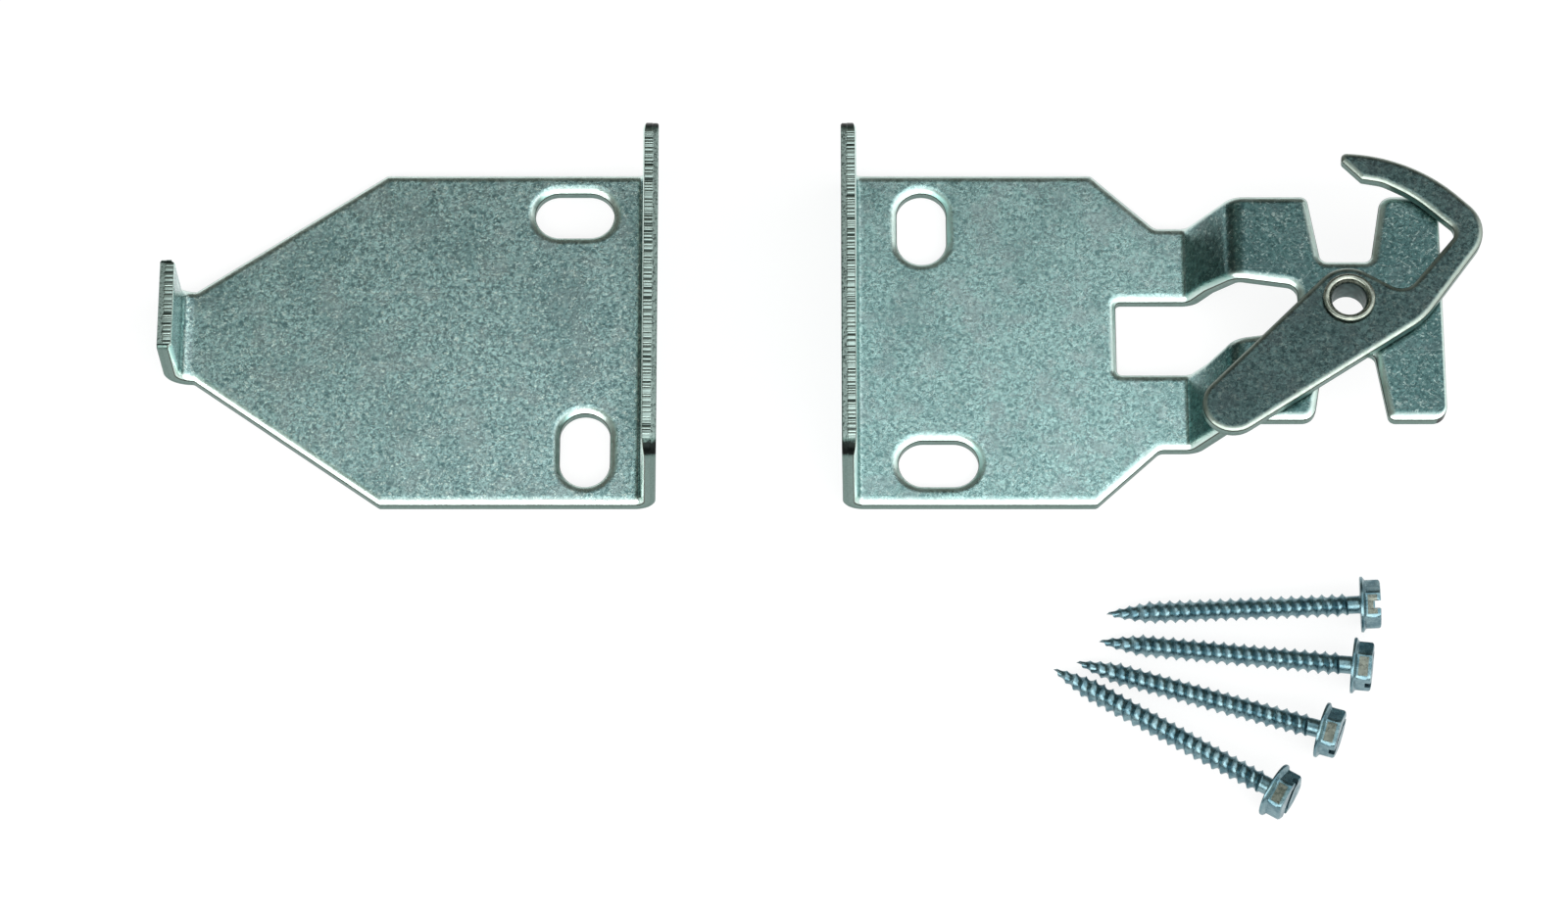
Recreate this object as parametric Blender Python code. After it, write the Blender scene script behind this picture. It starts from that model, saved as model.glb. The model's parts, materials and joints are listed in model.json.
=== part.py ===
"""Stair gate latch set: strike bracket, latch bracket with a pivoting hook, and four screws.

Both brackets are blanks of one sheet, punched, then folded. Each blank is drawn flat, with its
x along the sheet and its y up the bracket, and fold() carries it onto the bent shape. The set
lies on a table: X runs along it, Y up the brackets and Z up from the table. Lengths in metres.
"""
import math

import bmesh
import bpy
from mathutils import Euler, Matrix, Vector

MM = 0.001

# Sheet metal and the gaps between pieces
SHEET = 2.3 * MM                # both brackets
HOOK_SHEET = 2.2 * MM
BEND_RADIUS = 1.2 * MM          # inside radius of the flanges' bends
REST_GAP = 0.3 * MM             # between faces that rest on each other
RIM_GAP = 0.2 * MM              # under each rim of the eyelet
RUNNING_GAP = 0.1 * MM          # radial, round the eyelet's tube

# Both brackets
BRACKET_HEIGHT = 55.0 * MM
FLANGE_HEIGHT = 22.0 * MM       # from the underside of the plate
FLANGE_CORNER = 3.0 * MM
SLOT_WIDTH = 7.5 * MM
SLOT_LENGTH = 12.0 * MM
SLOT_MARGIN = 3.05 * MM         # from a slot's end or side to the bracket's edge
BRACKET_SPACING = 28.1 * MM     # between the outer faces of the two flanges

# Strike bracket: x is measured from the outer face of its flange
STRIKE_LENGTH = 74.0 * MM       # to the outer face of the tab
STRIKE_LEAN = math.radians(1.3)
STRIKE_SHOULDER_X = 41.3 * MM   # where the sides start to taper
STRIKE_NECK_X = 69.8 * MM
STRIKE_NECK_HEIGHT = 14.9 * MM
STRIKE_NECK_RISE = 0.4 * MM     # the neck sits this far above the middle
STRIKE_LEVEL_SLOT_X = 12.6 * MM
STRIKE_UPRIGHT_SLOT_X = 10.6 * MM
TAB_HEIGHT = 13.6 * MM
TAB_LEAN = math.radians(1.5)
TAB_CORNER = 0.8 * MM

# Latch bracket: x is measured from the outer face of its flange
LATCH_LENGTH = 89.7 * MM
LATCH_LEAN = math.radians(0.9)
LATCH_SHOULDER_X = 38.0 * MM
LATCH_NECK_X = 47.6 * MM
LATCH_NECK_HEIGHT = 37.0 * MM
LATCH_LEVEL_SLOT_X = 14.35 * MM
LATCH_UPRIGHT_SLOT_X = 12.1 * MM
JOGGLE_X = 51.4 * MM            # where the sheet starts to climb
JOGGLE_RISE = 11.0 * MM
JOGGLE_ANGLE = math.radians(60.0)
JOGGLE_LOWER_RADIUS = 1.0 * MM
JOGGLE_UPPER_RADIUS = 1.5 * MM
WINDOW_X = 41.4 * MM
WINDOW_HEIGHT = 12.1 * MM
WINDOW_END_HEIGHT = 7.4 * MM
WINDOW_TO_PIVOT = 7.4 * MM      # from the window's narrow end to the pivot
PIVOT_TO_END = 14.2 * MM
NOTCH_MOUTH = 11.1 * MM
NOTCH_FLOOR = 7.5 * MM
NOTCH_TO_PIVOT = 7.6 * MM       # from the pivot up or down to a notch's floor
NOTCH_FLOOR_CORNER = 1.2 * MM
PRONG_CORNER = 2.2 * MM
PRONG_INNER_CORNER = 1.2 * MM

# Hook: x and y from the pivot
BOSS_RADIUS = 5.3 * MM
LEVER_LENGTH = 24.6 * MM        # from the pivot to the middle of the lever's round end
LEVER_ANGLE = math.radians(-136.3)
LEVER_END_RADIUS = 4.5 * MM
LEVER_LOWER_EDGE = math.radians(34.1)
BOSS_LEAVES = math.radians(60.0)
HOOK_CORNERS = (                # x, y and fillet radius in millimetres, lever side first
    (11.26, -3.06, 12.0),
    (22.35, 12.20, 5.75),
    (10.18, 24.05, 27.0),
    (-0.45, 24.50, 0.9),
    (-0.25, 23.10, 0.5),
    (2.60, 20.15, 0.5),
    (5.70, 19.60, 5.0),
    (10.29, 17.26, 20.0),
    (16.80, 11.30, 1.6),
    (8.56, 1.18, 2.7),
)

# Pivot eyelet
EYELET_BORE = 5.1 * MM
EYELET_WALL = 0.5 * MM
EYELET_RIM = 7.8 * MM           # across the rolled rims
EYELET_RIM_HEIGHT = 0.7 * MM

# Screws: a No. 6 self-tapping screw, 38 mm under the head, with a slotted hexagon and washer
SCREW_LENGTH = 37.6 * MM
THREAD_MAJOR = 3.5 * MM
THREAD_CORE = 2.45 * MM
THREAD_PITCH = 1.5 * MM
POINT_LENGTH = 6.5 * MM
NECK_LENGTH = 1.6 * MM
NECK_DIAMETER = 2.65 * MM
WASHER_DIAMETER = 8.3 * MM
WASHER_THICKNESS = 0.75 * MM
HEX_FLATS = 6.35 * MM
HEAD_HEIGHT = 3.0 * MM          # with the washer
DRIVE_WIDTH = 1.2 * MM
DRIVE_DEPTH = 0.9 * MM
HEX_TURN = math.radians(24.0)
SCREW_PLACES = (                # point's x, y in millimetres, heading and drive slot in degrees
    (39.0, -44.9, 0.5, 24.0),
    (37.8, -49.3, -7.6, 84.0),
    (34.4, -52.6, -18.4, 84.0),
    (31.0, -53.7, -32.4, 144.0),
)

# Fineness of the curves
ARC_STEP = math.radians(15.0)
BEND_STEP = math.radians(22.5)
ROUND_SIDES = 40
THREAD_SIDES = 12

ZINC_LIGHT = (0.30, 0.36, 0.37)
ZINC_DARK = (0.17, 0.22, 0.23)
ZINC_BRIGHT = (0.42, 0.46, 0.45)
ZINC_BLUE = (0.22, 0.31, 0.34)


def clear_scene():
    """Remove every object of the open scene."""
    for item in list(bpy.data.objects):
        bpy.data.objects.remove(item, do_unlink=True)


def polar(radius, angle):
    """Return the x and y at a radius and an angle."""
    return radius * math.cos(angle), radius * math.sin(angle)


def tangent_corner(centre, radius, first, second):
    """Return where two tangents of a circle cross; their normals point at the two angles."""
    half = (second - first) / 2
    x, y = polar(radius / math.cos(half), first + half)
    return centre[0] + x, centre[1] + y, radius


def rounded(corners):
    """Return an outline's points, with each corner (x, y, radius) turned into an arc.

    A radius shrinks where its arc would run past the neighbouring one.
    """
    count = len(corners)
    points = [Vector(corner[:2]) for corner in corners]
    reaches = []
    for i, corner in enumerate(corners):
        before = (points[i - 1] - points[i]).normalized()
        after = (points[(i + 1) % count] - points[i]).normalized()
        turn = math.pi - before.angle(after)
        reaches.append((corner[2] * math.tan(turn / 2), turn))
    outline = []
    for i, corner in enumerate(corners):
        scale = 1.0
        for j in (i - 1, (i + 1) % count):
            length = (points[j] - points[i]).length
            wanted = reaches[i][0] + reaches[j][0]
            if wanted > 0.999 * length:
                scale = min(scale, 0.999 * length / wanted)
        reach = reaches[i][0] * scale
        radius = corner[2] * scale
        turn = reaches[i][1]
        if radius < 1e-6 or turn < 1e-4:
            outline.append(points[i])
            continue
        before = (points[i - 1] - points[i]).normalized()
        after = (points[(i + 1) % count] - points[i]).normalized()
        start = points[i] + before * reach
        centre = points[i] + (before + after).normalized() * math.hypot(reach, radius)
        side = 1.0 if before.cross(after) < 0 else -1.0
        steps = max(2, math.ceil(turn / ARC_STEP))
        arm = start - centre
        for step in range(steps + 1):
            outline.append(centre + Matrix.Rotation(side * turn * step / steps, 2) @ arm)
    return outline


def slot(x, y, upright):
    """Return the outline of a slot with round ends."""
    half_x = (SLOT_WIDTH if upright else SLOT_LENGTH) / 2
    half_y = (SLOT_LENGTH if upright else SLOT_WIDTH) / 2
    radius = SLOT_WIDTH / 2
    corners = ((x + half_x, y + half_y, radius), (x - half_x, y + half_y, radius),
               (x - half_x, y - half_y, radius), (x + half_x, y - half_y, radius))
    return rounded(corners)


def ring(diameter, sides):
    """Return the outline of a round hole at the origin."""
    return [Vector(polar(diameter / 2, 2 * math.pi * i / sides)) for i in range(sides)]


def walk(distance, bends):
    """Follow the middle of a folded sheet and return the x, z and heading reached.

    bends lists (distance at its start, turn, radius at the sheet's middle).
    """
    x, z, heading, done = 0.0, 0.0, 0.0, 0.0
    for start, turn, radius in bends:
        if distance <= start:
            break
        x += (start - done) * math.cos(heading)
        z += (start - done) * math.sin(heading)
        length = min(distance - start, radius * abs(turn))
        swept = math.copysign(length / radius, turn)
        side = math.copysign(radius, turn)
        x += side * (math.sin(heading + swept) - math.sin(heading))
        z += side * (math.cos(heading) - math.cos(heading + swept))
        heading += swept
        done = start + length
    x += (distance - done) * math.cos(heading)
    z += (distance - done) * math.sin(heading)
    return x, z, heading


def fold(vertices, datum, left_bends, right_bends):
    """Carry a flat plate's vertices onto the folded shape; x = datum stays where it is."""
    for vertex in vertices:
        along = vertex.co.x - datum
        side = 1.0 if along >= 0 else -1.0
        x, z, heading = walk(abs(along), right_bends if along >= 0 else left_bends)
        lift = vertex.co.z - SHEET / 2
        vertex.co.x = datum + side * (x - lift * math.sin(heading))
        vertex.co.z = SHEET / 2 + z + lift * math.cos(heading)


def bend_cuts(datum, side, bends):
    """Return the x of every line where a blank is cut so that its bends stay round."""
    cuts = []
    for start, turn, radius in bends:
        steps = math.ceil(abs(turn) / BEND_STEP)
        length = radius * abs(turn)
        cuts += [datum + side * (start + length * i / steps) for i in range(steps + 1)]
    return cuts


def flat_plate(outline, holes, thickness, cuts=()):
    """Return a bmesh of a flat plate with holes, cut across at the given x values."""
    bm = bmesh.new()
    for loop in [outline] + holes:
        verts = [bm.verts.new((point.x, point.y, 0.0)) for point in loop]
        for i, vert in enumerate(verts):
            bm.edges.new((vert, verts[(i + 1) % len(verts)]))
    bmesh.ops.triangle_fill(bm, use_beauty=True, edges=bm.edges[:])
    for cut in cuts:
        everything = bm.verts[:] + bm.edges[:] + bm.faces[:]
        bmesh.ops.bisect_plane(bm, geom=everything, dist=1e-7, plane_co=(cut, 0, 0), plane_no=(1, 0, 0))
    grown = bmesh.ops.extrude_face_region(bm, geom=bm.faces[:])
    top = [item for item in grown["geom"] if isinstance(item, bmesh.types.BMVert)]
    bmesh.ops.translate(bm, verts=top, vec=(0, 0, thickness))
    bmesh.ops.recalc_face_normals(bm, faces=bm.faces[:])
    return bm


def zinc(name, colour, roughness):
    """Return a zinc-plated steel material."""
    material = bpy.data.materials.new(name)
    material.use_nodes = True
    shader = material.node_tree.nodes["Principled BSDF"]
    shader.inputs["Base Color"].default_value = (*colour, 1.0)
    shader.inputs["Metallic"].default_value = 1.0
    shader.inputs["Roughness"].default_value = roughness
    return material


def add_piece(name, bm, material, parent, place=(0, 0, 0)):
    """Turn a bmesh into a named object under a parent and return it."""
    mesh = bpy.data.meshes.new(name)
    bm.to_mesh(mesh)
    bm.free()
    mesh.materials.append(material)
    mesh.shade_smooth()
    mesh.set_sharp_from_angle(angle=math.radians(30))
    piece = bpy.data.objects.new(name, mesh)
    bpy.context.scene.collection.objects.link(piece)
    piece.parent = parent
    piece.location = place
    return piece


def flange_bend(lean):
    """Return a flange bend's turn, its radius at the sheet's middle, and its setback.

    The setback runs from the outer face of the flange to where the plate's flat starts.
    """
    turn = math.pi / 2 - lean
    setback = (BEND_RADIUS + SHEET) * math.tan(turn / 2)
    return turn, BEND_RADIUS + SHEET / 2, setback


def flange_reach(height, turn, radius):
    """Return the sheet's length past the start of a bend that ends at a height."""
    climb = height - SHEET / 2 * (1 + math.cos(turn)) - radius * (1 - math.cos(turn))
    return radius * turn + climb / math.sin(turn)


def bracket_slots(level_x, upright_x, level_side):
    """Return a bracket's two slots, one level and one upright, at opposite edges."""
    level_y = BRACKET_HEIGHT / 2 - SLOT_MARGIN - SLOT_WIDTH / 2
    upright_y = BRACKET_HEIGHT / 2 - SLOT_MARGIN - SLOT_LENGTH / 2
    return [slot(level_x, level_side * level_y, False), slot(upright_x, -level_side * upright_y, True)]


def strike_bracket(parent, material):
    """Build the strike bracket; its flange's outer face is at x = 0 and its tab at minus x."""
    turn, radius, setback = flange_bend(STRIKE_LEAN)
    tab_turn, tab_radius, tab_setback = flange_bend(TAB_LEAN)
    flange_end = -setback + flange_reach(FLANGE_HEIGHT, turn, radius)
    tab_bend = -(STRIKE_LENGTH - tab_setback)
    tab_end = tab_bend - flange_reach(TAB_HEIGHT, tab_turn, tab_radius)
    half = BRACKET_HEIGHT / 2
    neck_top = STRIKE_NECK_RISE + STRIKE_NECK_HEIGHT / 2
    neck_foot = STRIKE_NECK_RISE - STRIKE_NECK_HEIGHT / 2
    outline = rounded((
        (flange_end, half, FLANGE_CORNER),
        (-STRIKE_SHOULDER_X, half, 0.8 * MM),
        (-STRIKE_NECK_X, neck_top, 0.8 * MM),
        (tab_end, neck_top, TAB_CORNER),
        (tab_end, neck_foot, TAB_CORNER),
        (-STRIKE_NECK_X, neck_foot, 0.8 * MM),
        (-STRIKE_SHOULDER_X, -half, 0.8 * MM),
        (flange_end, -half, FLANGE_CORNER),
    ))
    holes = bracket_slots(-STRIKE_LEVEL_SLOT_X, -STRIKE_UPRIGHT_SLOT_X, 1)
    datum = -STRIKE_SHOULDER_X
    right = [(-setback - datum, turn, radius)]
    left = [(datum - tab_bend, tab_turn, tab_radius)]
    cuts = bend_cuts(datum, 1, right) + bend_cuts(datum, -1, left)
    bm = flat_plate(outline, holes, SHEET, cuts)
    fold(bm.verts, datum, left, right)
    return add_piece("strike_bracket", bm, material, parent, (-BRACKET_SPACING, 0, 0))


def joggle_bends():
    """Return the joggle's two bends, as walk() takes them from JOGGLE_X, and its two lengths.

    The first length is along the sheet and the second is level.
    """
    lower = JOGGLE_LOWER_RADIUS + SHEET / 2
    upper = JOGGLE_UPPER_RADIUS + SHEET / 2
    straight = JOGGLE_RISE - (lower + upper) * (1 - math.cos(JOGGLE_ANGLE))
    straight /= math.sin(JOGGLE_ANGLE)
    second = lower * JOGGLE_ANGLE + straight
    bends = [(0.0, JOGGLE_ANGLE, lower), (second, -JOGGLE_ANGLE, upper)]
    level = (lower + upper) * math.sin(JOGGLE_ANGLE) + straight * math.cos(JOGGLE_ANGLE)
    return bends, second + upper * JOGGLE_ANGLE, level


def notch(pivot_x, side):
    """Return the four corners of the notch above (side 1) or below (side -1) the pivot."""
    edge = side * LATCH_NECK_HEIGHT / 2
    floor = side * NOTCH_TO_PIVOT
    return [
        (pivot_x + side * NOTCH_MOUTH / 2, edge, PRONG_CORNER),
        (pivot_x + side * NOTCH_FLOOR / 2, floor, NOTCH_FLOOR_CORNER),
        (pivot_x - side * NOTCH_FLOOR / 2, floor, NOTCH_FLOOR_CORNER),
        (pivot_x - side * NOTCH_MOUTH / 2, edge, PRONG_INNER_CORNER),
    ]


def latch_bracket(parent, material):
    """Build the latch bracket; its flange's outer face is at x = 0."""
    turn, radius, setback = flange_bend(LATCH_LEAN)
    joggle, joggle_length, joggle_level = joggle_bends()
    spare = joggle_length - joggle_level
    flange_end = setback - flange_reach(FLANGE_HEIGHT, turn, radius)
    end = LATCH_LENGTH + spare
    pivot = end - PIVOT_TO_END
    half = BRACKET_HEIGHT / 2
    neck = LATCH_NECK_HEIGHT / 2
    outline = rounded(
        [(flange_end, -half, FLANGE_CORNER),
         (LATCH_SHOULDER_X, -half, 1.0 * MM),
         (LATCH_NECK_X, -neck, 1.5 * MM)]
        + notch(pivot, -1)
        + [(end, -neck, PRONG_CORNER), (end, neck, PRONG_CORNER)]
        + notch(pivot, 1)
        + [(LATCH_NECK_X, neck, 1.5 * MM),
           (LATCH_SHOULDER_X, half, 1.0 * MM),
           (flange_end, half, FLANGE_CORNER)])
    taper_x = JOGGLE_X + joggle[1][0] / 2
    window_end = pivot - WINDOW_TO_PIVOT
    window = rounded((
        (WINDOW_X, WINDOW_HEIGHT / 2, 0.8 * MM),
        (WINDOW_X, -WINDOW_HEIGHT / 2, 0.8 * MM),
        (taper_x, -WINDOW_HEIGHT / 2, 0.0),
        (window_end, -WINDOW_END_HEIGHT / 2, 1.8 * MM),
        (window_end, WINDOW_END_HEIGHT / 2, 1.8 * MM),
        (taper_x, WINDOW_HEIGHT / 2, 0.0),
    ))
    pivot_hole = [point + Vector((pivot, 0)) for point in ring(pivot_hole_diameter(), ROUND_SIDES)]
    holes = bracket_slots(LATCH_LEVEL_SLOT_X, LATCH_UPRIGHT_SLOT_X, -1) + [window, pivot_hole]
    left = [(JOGGLE_X - setback, turn, radius)]
    cuts = bend_cuts(JOGGLE_X, -1, left) + bend_cuts(JOGGLE_X, 1, joggle)
    bm = flat_plate(outline, holes, SHEET, cuts)
    fold(bm.verts, JOGGLE_X, left, joggle)
    return add_piece("latch_bracket", bm, material, parent)


def pivot_hole_diameter():
    """Return the diameter of the holes that the eyelet's tube passes through."""
    return EYELET_BORE + 2 * EYELET_WALL + 2 * RUNNING_GAP


def hook_lever(parent, material):
    """Build the hook with its lever, with its origin on the pivot's axis."""
    lever = polar(LEVER_LENGTH, LEVER_ANGLE)
    spread = math.asin((BOSS_RADIUS - LEVER_END_RADIUS) / LEVER_LENGTH)
    upper_normal = LEVER_ANGLE + 2 * math.pi - math.pi / 2 + spread
    cap_normal = LEVER_ANGLE + 2 * math.pi
    lower_normal = LEVER_LOWER_EDGE + 1.5 * math.pi
    corners = [
        tangent_corner((0.0, 0.0), BOSS_RADIUS, BOSS_LEAVES, upper_normal),
        tangent_corner(lever, LEVER_END_RADIUS, upper_normal, cap_normal),
        tangent_corner(lever, LEVER_END_RADIUS, cap_normal, lower_normal),
    ]
    corners += [(x * MM, y * MM, radius * MM) for x, y, radius in HOOK_CORNERS]
    bm = flat_plate(rounded(corners), [ring(pivot_hole_diameter(), ROUND_SIDES)], HOOK_SHEET)
    place = (LATCH_LENGTH - PIVOT_TO_END, 0, JOGGLE_RISE + SHEET + REST_GAP)
    return add_piece("hook_lever", bm, material, parent, place)


def pivot_eyelet(parent, material):
    """Turn the hollow rivet that the hook swings on, with a rolled rim at each end."""
    bore = EYELET_BORE / 2
    tube = bore + EYELET_WALL
    rim = EYELET_RIM / 2
    middle = (bore + rim) / 2
    low = -SHEET - RIM_GAP
    high = REST_GAP + HOOK_SHEET + RIM_GAP
    crown = [polar(1.0, math.pi * i / 8) for i in range(9)]
    profile = [(middle + (rim - middle) * x, high + EYELET_RIM_HEIGHT * z) for x, z in crown]
    profile += [(middle - (rim - middle) * x, low - EYELET_RIM_HEIGHT * z) for x, z in crown]
    profile += [(tube, low), (tube, high)]
    bm = bmesh.new()
    verts = [bm.verts.new((x, 0.0, z)) for x, z in profile]
    edges = [bm.edges.new((vert, verts[(i + 1) % len(verts)])) for i, vert in enumerate(verts)]
    bmesh.ops.spin(bm, geom=verts + edges, cent=(0, 0, 0), axis=(0, 0, 1), dvec=(0, 0, 0),
                   angle=2 * math.pi, steps=ROUND_SIDES, use_merge=True, use_duplicate=False)
    bmesh.ops.remove_doubles(bm, verts=bm.verts[:], dist=1e-7)
    bmesh.ops.recalc_face_normals(bm, faces=bm.faces[:])
    place = (LATCH_LENGTH - PIVOT_TO_END, 0, JOGGLE_RISE + SHEET)
    return add_piece("pivot_eyelet", bm, material, parent, place)


def thread_body():
    """Return a bmesh of the screw's threaded length, its point at z = -SCREW_LENGTH."""
    turns = math.floor((SCREW_LENGTH - NECK_LENGTH) / THREAD_PITCH)
    bm = bmesh.new()
    root = THREAD_CORE / 2
    crest = THREAD_MAJOR / 2
    profile = [(root, 0.0), (crest, THREAD_PITCH / 2), (root, THREAD_PITCH)]
    verts = [bm.verts.new((x, 0.0, z - SCREW_LENGTH)) for x, z in profile]
    edges = [bm.edges.new((verts[i], verts[i + 1])) for i in range(2)]
    bmesh.ops.spin(bm, geom=verts + edges, cent=(0, 0, 0), axis=(0, 0, 1),
                   dvec=(0, 0, THREAD_PITCH / THREAD_SIDES), angle=2 * math.pi * turns,
                   steps=THREAD_SIDES * turns, use_merge=False, use_duplicate=False)
    bmesh.ops.remove_doubles(bm, verts=bm.verts[:], dist=1e-5)
    for vert in bm.verts:
        share = (vert.co.z + SCREW_LENGTH) / POINT_LENGTH
        share = min(1.0, max(0.06, share) ** 0.75)
        vert.co.x *= share
        vert.co.y *= share
    bmesh.ops.holes_fill(bm, edges=[edge for edge in bm.edges if edge.is_boundary], sides=0)
    bmesh.ops.recalc_face_normals(bm, faces=bm.faces[:])
    return bm


def head_body():
    """Return a bmesh of the screw's neck, washer and hexagon; the washer's underside is z = 0."""
    sides = 24
    neck = NECK_DIAMETER / 2
    washer = WASHER_DIAMETER / 2
    flat = HEX_FLATS / 2
    levels = (
        (-NECK_LENGTH - THREAD_PITCH, neck, 0.0),
        (0.0, neck, 0.0),
        (0.0, washer, 0.0),
        (WASHER_THICKNESS / 2, washer, 0.0),
        (WASHER_THICKNESS, 0.0, flat),
        (HEAD_HEIGHT, 0.0, flat),
    )
    bm = bmesh.new()
    rings = []
    for z, round_radius, flat_radius in levels:
        verts = []
        for i in range(sides):
            angle = 2 * math.pi * i / sides
            off_flat = (angle + math.pi / 6) % (math.pi / 3) - math.pi / 6
            radius = round_radius or flat_radius / math.cos(off_flat)
            verts.append(bm.verts.new((*polar(radius, angle + HEX_TURN), z)))
        rings.append(verts)
    for lower, upper in zip(rings, rings[1:]):
        for i in range(sides):
            j = (i + 1) % sides
            bm.faces.new((lower[i], lower[j], upper[j], upper[i]))
    bm.faces.new(list(reversed(rings[0])))
    bm.faces.new(rings[-1])
    bmesh.ops.recalc_face_normals(bm, faces=bm.faces[:])
    return bm


def box_body(size, centre):
    """Return a bmesh of a box."""
    bm = bmesh.new()
    bmesh.ops.create_cube(bm, size=1.0)
    bmesh.ops.scale(bm, vec=size, verts=bm.verts[:])
    bmesh.ops.translate(bm, vec=centre, verts=bm.verts[:])
    return bm


def add_boolean(piece, helper, operation):
    """Cut a piece by a helper body, or join the helper to it; the helper is hidden."""
    helper.hide_render = True
    helper.display_type = "WIRE"
    modifier = piece.modifiers.new(helper.name, "BOOLEAN")
    modifier.operation = operation
    modifier.solver = "EXACT"
    modifier.object = helper


def mounting_screw(number, place, parent, material):
    """Build a screw that lies on the table on its washer's rim and its thread's first full turn."""
    point_x, point_y, heading, drive_turn = place
    name = f"mounting_screw_{number}"
    run = SCREW_LENGTH - POINT_LENGTH
    tilt = math.asin((WASHER_DIAMETER - THREAD_MAJOR) / 2 / run)
    turned = Euler((0.0, math.pi / 2 - tilt, math.radians(heading)), "XYZ")
    axis = turned.to_matrix() @ Vector((0, 0, 1))
    seat_height = WASHER_DIAMETER / 2 * math.cos(tilt)
    seat = Vector((point_x * MM, point_y * MM, 0.0)) + axis * SCREW_LENGTH
    seat.z = seat_height
    piece = add_piece(name, thread_body(), material, parent, seat)
    piece.rotation_euler = turned
    head = add_piece(f"{name}_head", head_body(), material, piece)
    drive_size = (2 * WASHER_DIAMETER, DRIVE_WIDTH, 2 * DRIVE_DEPTH)
    drive = add_piece(f"{name}_drive", box_body(drive_size, (0, 0, HEAD_HEIGHT)), material, piece)
    drive.rotation_euler = (0, 0, math.radians(drive_turn))
    add_boolean(piece, head, "UNION")
    add_boolean(piece, drive, "DIFFERENCE")
    return piece


def seat_set(base, pieces):
    """Move the base so that the set's box stands centred on the origin, on z = 0."""
    bpy.context.view_layer.update()
    graph = bpy.context.evaluated_depsgraph_get()
    points = []
    for piece in pieces:
        shape = piece.evaluated_get(graph)
        mesh = shape.to_mesh()
        points += [shape.matrix_world @ vertex.co for vertex in mesh.vertices]
        shape.to_mesh_clear()
    low = Vector([min(point[i] for point in points) for i in range(3)])
    high = Vector([max(point[i] for point in points) for i in range(3)])
    base.location = (-(low.x + high.x) / 2, -(low.y + high.y) / 2, -low.z)


def main():
    """Build the set."""
    clear_scene()
    base = bpy.data.objects.new("set_base", None)
    bpy.context.scene.collection.objects.link(base)
    light = zinc("zinc_light", ZINC_LIGHT, 0.42)
    pieces = [
        strike_bracket(base, zinc("zinc_strike", ZINC_LIGHT, 0.45)),
        latch_bracket(base, light),
        hook_lever(base, zinc("zinc_hook", ZINC_DARK, 0.45)),
        pivot_eyelet(base, zinc("zinc_eyelet", ZINC_BRIGHT, 0.28)),
    ]
    screw_zinc = zinc("zinc_screw", ZINC_BLUE, 0.3)
    for number, place in enumerate(SCREW_PLACES, 1):
        pieces.append(mounting_screw(number, place, base, screw_zinc))
    seat_set(base, pieces)


main()
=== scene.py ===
"""Stair gate latch set: two folded brackets, a hook on a hollow rivet, and four screws.

Every piece is zinc-plated steel. The brackets and the hook are punched blanks, so each cut edge
has what a punch leaves: a rolled-over upper rim, a burnished band and a torn band below it. The
pieces are laid out from the hook's pivot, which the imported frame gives. Lengths are in metres.
"""

import json
import logging
import math
from collections.abc import Sequence
from dataclasses import dataclass, field
from enum import Enum
from typing import Any, ClassVar

import bmesh
import bpy
from bmesh.types import BMEdge, BMesh, BMFace, BMVert
from bpy.types import Material, NodeSocket, Object
from mathutils import Matrix, Vector


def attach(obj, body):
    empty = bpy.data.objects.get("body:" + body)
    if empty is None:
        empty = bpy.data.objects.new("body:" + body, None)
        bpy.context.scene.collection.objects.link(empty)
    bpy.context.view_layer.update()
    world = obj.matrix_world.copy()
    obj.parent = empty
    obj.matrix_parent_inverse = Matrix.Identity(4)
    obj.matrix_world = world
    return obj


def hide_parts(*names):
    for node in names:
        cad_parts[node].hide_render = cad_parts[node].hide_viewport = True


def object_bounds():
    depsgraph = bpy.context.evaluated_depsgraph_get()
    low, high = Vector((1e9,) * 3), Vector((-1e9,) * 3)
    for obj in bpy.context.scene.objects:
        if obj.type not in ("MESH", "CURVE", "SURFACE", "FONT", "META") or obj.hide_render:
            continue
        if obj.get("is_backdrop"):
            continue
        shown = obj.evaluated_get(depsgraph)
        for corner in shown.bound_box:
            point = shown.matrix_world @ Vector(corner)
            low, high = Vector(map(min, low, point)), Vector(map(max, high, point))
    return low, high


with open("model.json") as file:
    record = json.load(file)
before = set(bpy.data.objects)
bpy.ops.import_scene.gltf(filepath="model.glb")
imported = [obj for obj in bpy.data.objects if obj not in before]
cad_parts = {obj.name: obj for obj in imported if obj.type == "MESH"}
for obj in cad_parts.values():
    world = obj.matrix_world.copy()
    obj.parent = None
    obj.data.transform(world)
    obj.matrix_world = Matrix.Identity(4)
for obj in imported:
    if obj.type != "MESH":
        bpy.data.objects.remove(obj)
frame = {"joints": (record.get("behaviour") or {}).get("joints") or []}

LOG = logging.getLogger("latch_set")
MM = 0.001

# The largest turn and the longest side of a rounded corner's segments, and its least radius.
ARC_STEP = math.radians(7.5)
LONGEST_SEGMENT = 0.7 * MM
SMALLEST_RADIUS = 0.02 * MM

# Faces that meet at more than this keep a sharp edge between them.
SHARP_ANGLE = math.radians(38)

# How near a cut has to be to a point to run through it, and how near two points are to be one.
TOUCH = 0.0001 * MM
WELD = 0.002 * MM

# How far the shear reaches round a sheared end's corner: a share of a wide corner's radius, or
# the same little way round every tight one.
SHEAR_SHARE = 0.8
TIGHT_CORNER = 1.5 * MM
TIGHT_REACH = 0.05 * MM


# Finishes

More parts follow.
